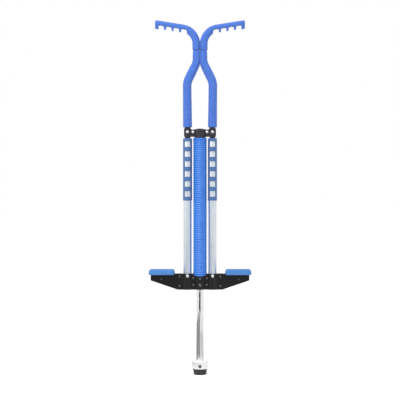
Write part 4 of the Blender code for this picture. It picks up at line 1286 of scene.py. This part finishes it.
def make_socket(hand):
    node = "handle_socket_" + hand
    low, high = span(node)
    middle = (low.x + high.x) / 2
    plug_r = (high.x - low.x) / 2
    profile = [
        (NECK_R, high.z, 0.6),
        (NECK_R, NECK_FOOT, 0.8),
        (plug_r, NECK_FOOT, 0.4),
        (plug_r, NECK_FOOT - 14.0),
        (plug_r - 0.5, NECK_FOOT - 15.0, 0.3),
        (plug_r - 0.5, low.z + 15.0, 0.3),
        (plug_r, low.z + 14.0),
        (plug_r, low.z, 1.2),
        (SOCKET_BORE, low.z, 0.4),
        (SOCKET_BORE, high.z, 0.4),
    ]
    bm = turned(profile, 64)
    bmesh.ops.translate(bm, vec=(middle, 0.0, 0.0), verts=bm.verts)
    place_piece("socket_" + hand, bm, BLACK_PLASTIC, node)


# %% Handle line and foam sleeves
FOAM_LINE = [(36.6, 725.5), (37.9, 858.3, 52.0), (9.9, 915.4, 48.0), (9.9, 950.6)]
FOAM_RADII = [(725.0, 13.3), (830.0, 12.6), (885.0, 13.0), (925.0, 11.8), (946.0, 11.6), (951.0, 9.6)]
CONTACT = 0.02
CONTACT_SOFT = 0.2
SLEEVE_ANGLES = [2 * math.pi * index / 44 for index in range(44)]
SLEEVE_STEP = 4.0


def stations(line, step):
    """Points and directions at even steps along a line of points in (x, z)."""
    found = []
    for start, end in zip(line, line[1:]):
        run = end - start
        count = max(1, round(run.length / step))
        found += [(start + run * i / count, run.normalized()) for i in range(count)]
    found.append((line[-1], (line[-1] - line[-2]).normalized()))
    return found


def pressed_flat(x):
    """The two handles meet at x = 0: what would pass it is flattened, with a soft shoulder."""
    if x > CONTACT + CONTACT_SOFT:
        return x
    return CONTACT + CONTACT_SOFT * math.exp((x - CONTACT - CONTACT_SOFT) / CONTACT_SOFT)


def sleeve_ring(point, direction, radius):
    """A circle square to the line, its points then pressed flat at the middle plane."""
    across = Vector((direction.y, -direction.x))
    ring = []
    for angle in SLEEVE_ANGLES:
        out = radius * math.cos(angle)
        x = pressed_flat(point.x + across.x * out)
        ring.append((x, radius * math.sin(angle), point.y + across.y * out))
    return ring


def make_sleeve(hand, side):
    line = eased(FOAM_LINE, steps=10)
    rings = []
    spots = stations(line, SLEEVE_STEP)
    first, along = spots[0]
    for inset, back in ((4.6, 0.0), (1.4, 0.0), (0.5, 0.35), (0.0, 1.3)):
        radius = between(first.y, FOAM_RADII) - inset
        rings.append(sleeve_ring(first + along * back, along, radius))
    for point, direction in spots[1:]:
        rings.append(sleeve_ring(point, direction, between(point.y, FOAM_RADII)))
    last, along = spots[-1]
    rings.append(sleeve_ring(last, along, between(last.y, FOAM_RADII) - 2.2))
    bm = mirrored(lofted(rings), side)
    sleeve = place_piece("foam_sleeve_" + hand, bm, BLUE_FOAM, "handle_foam_" + hand)


for hand, side in SIDES.items():
    make_socket(hand)
    make_sleeve(hand, side)


# %% [markdown]
# ### Finger grips
# A grip starts as a tube round the crook, and along the bar it grows a web that four finger gaps are
# scooped from. Every ring here is drawn between a point on the grip's upper edge and one on its
# lower edge. Above it is always half round. Below it goes from half round, in the crook, to the
# square-shouldered web, so one loft makes crook, bar, gaps and teeth with no seam.

# %% Outline of a grip
CROOK = Vector((57.4, 970.6))
CROOK_R = 46.4
GRIP_R = 11.4
BAR_R = 10.8
SLOPE = math.radians(9.1)
BAR_POINT = Vector((66.2, 1030.4))
BAR_END = 132.0
TOOTH_DEPTH = 24.2
END_DEPTH = 26.0
TOOTH_EDGE = 1.6
FINGER_X = (47.4, 69.6, 91.8, 114.0)
FINGER_HALF = 7.9
FINGER_CORNER = 4.0
FINGER_ROOF = 13.6
WEB_HALF = 7.4
WEB_FADE = 7.0
END_EDGE = 5.0
NECK_END = ((951.2, 3.6), (951.2, 2.0), (951.9, 1.0), (953.2, 0.4))
NECK_RINGS = (*NECK_END, (956.0, 0.1), (961.0, 0.0), (966.0, 0.0))
CROOK_STEPS = 18
ROUND = 2.0
GRIP_ANGLES = [2 * math.pi * index / 48 for index in range(48)]


def bar_top(x):
    return BAR_POINT.y + (x - BAR_POINT.x) * math.tan(SLOPE)


def top_edge(x):
    """The grip's upper edge: an arc round the crook, then the bar's straight line."""
    reach = CROOK_R + GRIP_R
    if x < CROOK.x - reach * math.sin(SLOPE):
        return CROOK.y + math.sqrt(max(reach * reach - (CROOK.x - x) ** 2, 0.0))
    return bar_top(x)


def quarter(off, radius):
    """How far a quarter round has dropped, at a distance from the end of the flat it rounds."""
    inside = min(max(radius - off, 0.0), radius)
    return radius - math.sqrt(radius * radius - inside * inside)


def low_edge(x):
    """The grip's lower edge along the bar: a gap with round corners at each finger, teeth between."""
    from_wall = min(abs(abs(x - finger) - FINGER_HALF) for finger in FINGER_X)
    if any(abs(x - finger) < FINGER_HALF for finger in FINGER_X):
        return bar_top(x) - FINGER_ROOF - quarter(from_wall, FINGER_CORNER)
    depth = END_DEPTH if x > FINGER_X[-1] else TOOTH_DEPTH
    return bar_top(x) - depth + quarter(from_wall, TOOTH_EDGE)


def bar_stations():
    """Places along the bar, close together at each gap's walls and at each tooth's corners."""
    into_gap = (0.0, 0.02, 0.15, 0.45, 1.0, 1.8, 2.8, 4.0, 6.0)
    into_tooth = (0.02, 0.15, 0.5, 1.0, 1.6, 2.6)
    places = [BAR_END - off for off in (5.0, 3.4, 2.2, 1.3, 0.6, 0.2, 0.02)]
    for finger in FINGER_X:
        for hand in (-1.0, 1.0):
            wall = finger + hand * FINGER_HALF
            places += [wall - hand * off for off in into_gap]
            if wall > FINGER_X[0]:
                places += [wall + hand * off for off in into_tooth]
        places.append(finger)
    return sorted(places)


# %% Rings of a grip
def grip_ring(top, low, radius, squareness, web_half):
    """A section from its top point to its low point, half round above and squarer below."""
    depth_axis = (low - top).normalized()
    depth = (low - top).length
    power = 2.0 / squareness
    ring = []
    for angle in GRIP_ANGLES:
        up = math.sin(angle)
        out = math.cos(angle)
        if up >= 0.0:
            down = radius * (1.0 - up)
            half = radius * out
        else:
            down = radius + (depth - radius) * abs(up) ** power
            fade = min(max((down - radius) / WEB_FADE, 0.0), 1.0)
            wide = radius + (web_half - radius) * fade * fade * (3.0 - 2.0 * fade)
            half = wide * math.copysign(abs(out) ** power, out)
        place = top + depth_axis * down
        ring.append((pressed_flat(place.x), half, place.y))
    return ring


def first_gap_turn():
    """How far round the crook the first finger gap starts, as an angle."""
    return math.acos((CROOK.x - (FINGER_X[0] - FINGER_HALF)) / (CROOK_R - GRIP_R))


def crook_rings():
    """Round rings up the neck and round the crook, to where the first finger gap starts."""
    rings = []
    neck_x = CROOK.x - CROOK_R
    for z, shrink in NECK_RINGS:
        radius = GRIP_R - shrink
        inner = Vector((neck_x - radius, z))
        outer = Vector((neck_x + radius, z))
        rings.append(grip_ring(inner, outer, radius, ROUND, radius))
    last_turn = first_gap_turn()
    for step in range(CROOK_STEPS):
        turn = last_turn * step / CROOK_STEPS
        out = Vector((-math.cos(turn), math.sin(turn)))
        top = CROOK + out * (CROOK_R + GRIP_R)
        low = CROOK + out * (CROOK_R - GRIP_R)
        rings.append(grip_ring(top, low, GRIP_R, ROUND, GRIP_R))
    return rings


def bar_rings():
    """Rings along the bar. Over the first gap they swing from square to the line to upright."""
    rings = []
    start = FINGER_X[0] - FINGER_HALF
    top_start = CROOK.x - (CROOK_R + GRIP_R) * math.cos(first_gap_turn())
    swing_end = FINGER_X[0] + FINGER_HALF
    for x in bar_stations():
        swung = min(max((x - start) / (swing_end - start), 0.0), 1.0)
        top_x = top_start + (swing_end - top_start) * swung if swung < 1.0 else x
        inset = quarter(BAR_END - x, END_EDGE)
        top = Vector((top_x, top_edge(top_x) - inset))
        low = Vector((x, low_edge(x) + 0.4 * inset))
        radius = min(GRIP_R + (BAR_R - GRIP_R) * swung - inset, (low - top).length * 0.8)
        squareness = ROUND + 2.0 * min(swung * 2.0, 1.0)
        rings.append(grip_ring(top, low, radius, squareness, WEB_HALF - 0.6 * inset))
    return rings


# %% Both grips
def make_grip(hand, side):
    bm = mirrored(lofted(crook_rings() + bar_rings()), side)
    grip = place_piece("grip_" + hand, bm, BLUE_FOAM, "finger_grip_" + hand)


for hand, side in SIDES.items():
    make_grip(hand, side)


# %% [markdown]
# ## What stays as it came
# The bent tubes inside the handles are nowhere to be seen, and their solids are right as they are.
# They only need their paint.

# %% Handle tubes
for hand in SIDES:
    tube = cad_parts["handle_tube_" + hand]
    tube.data.materials.clear()
    tube.data.materials.append(BLACK_PAINT)
    print(tube.name, "is painted")
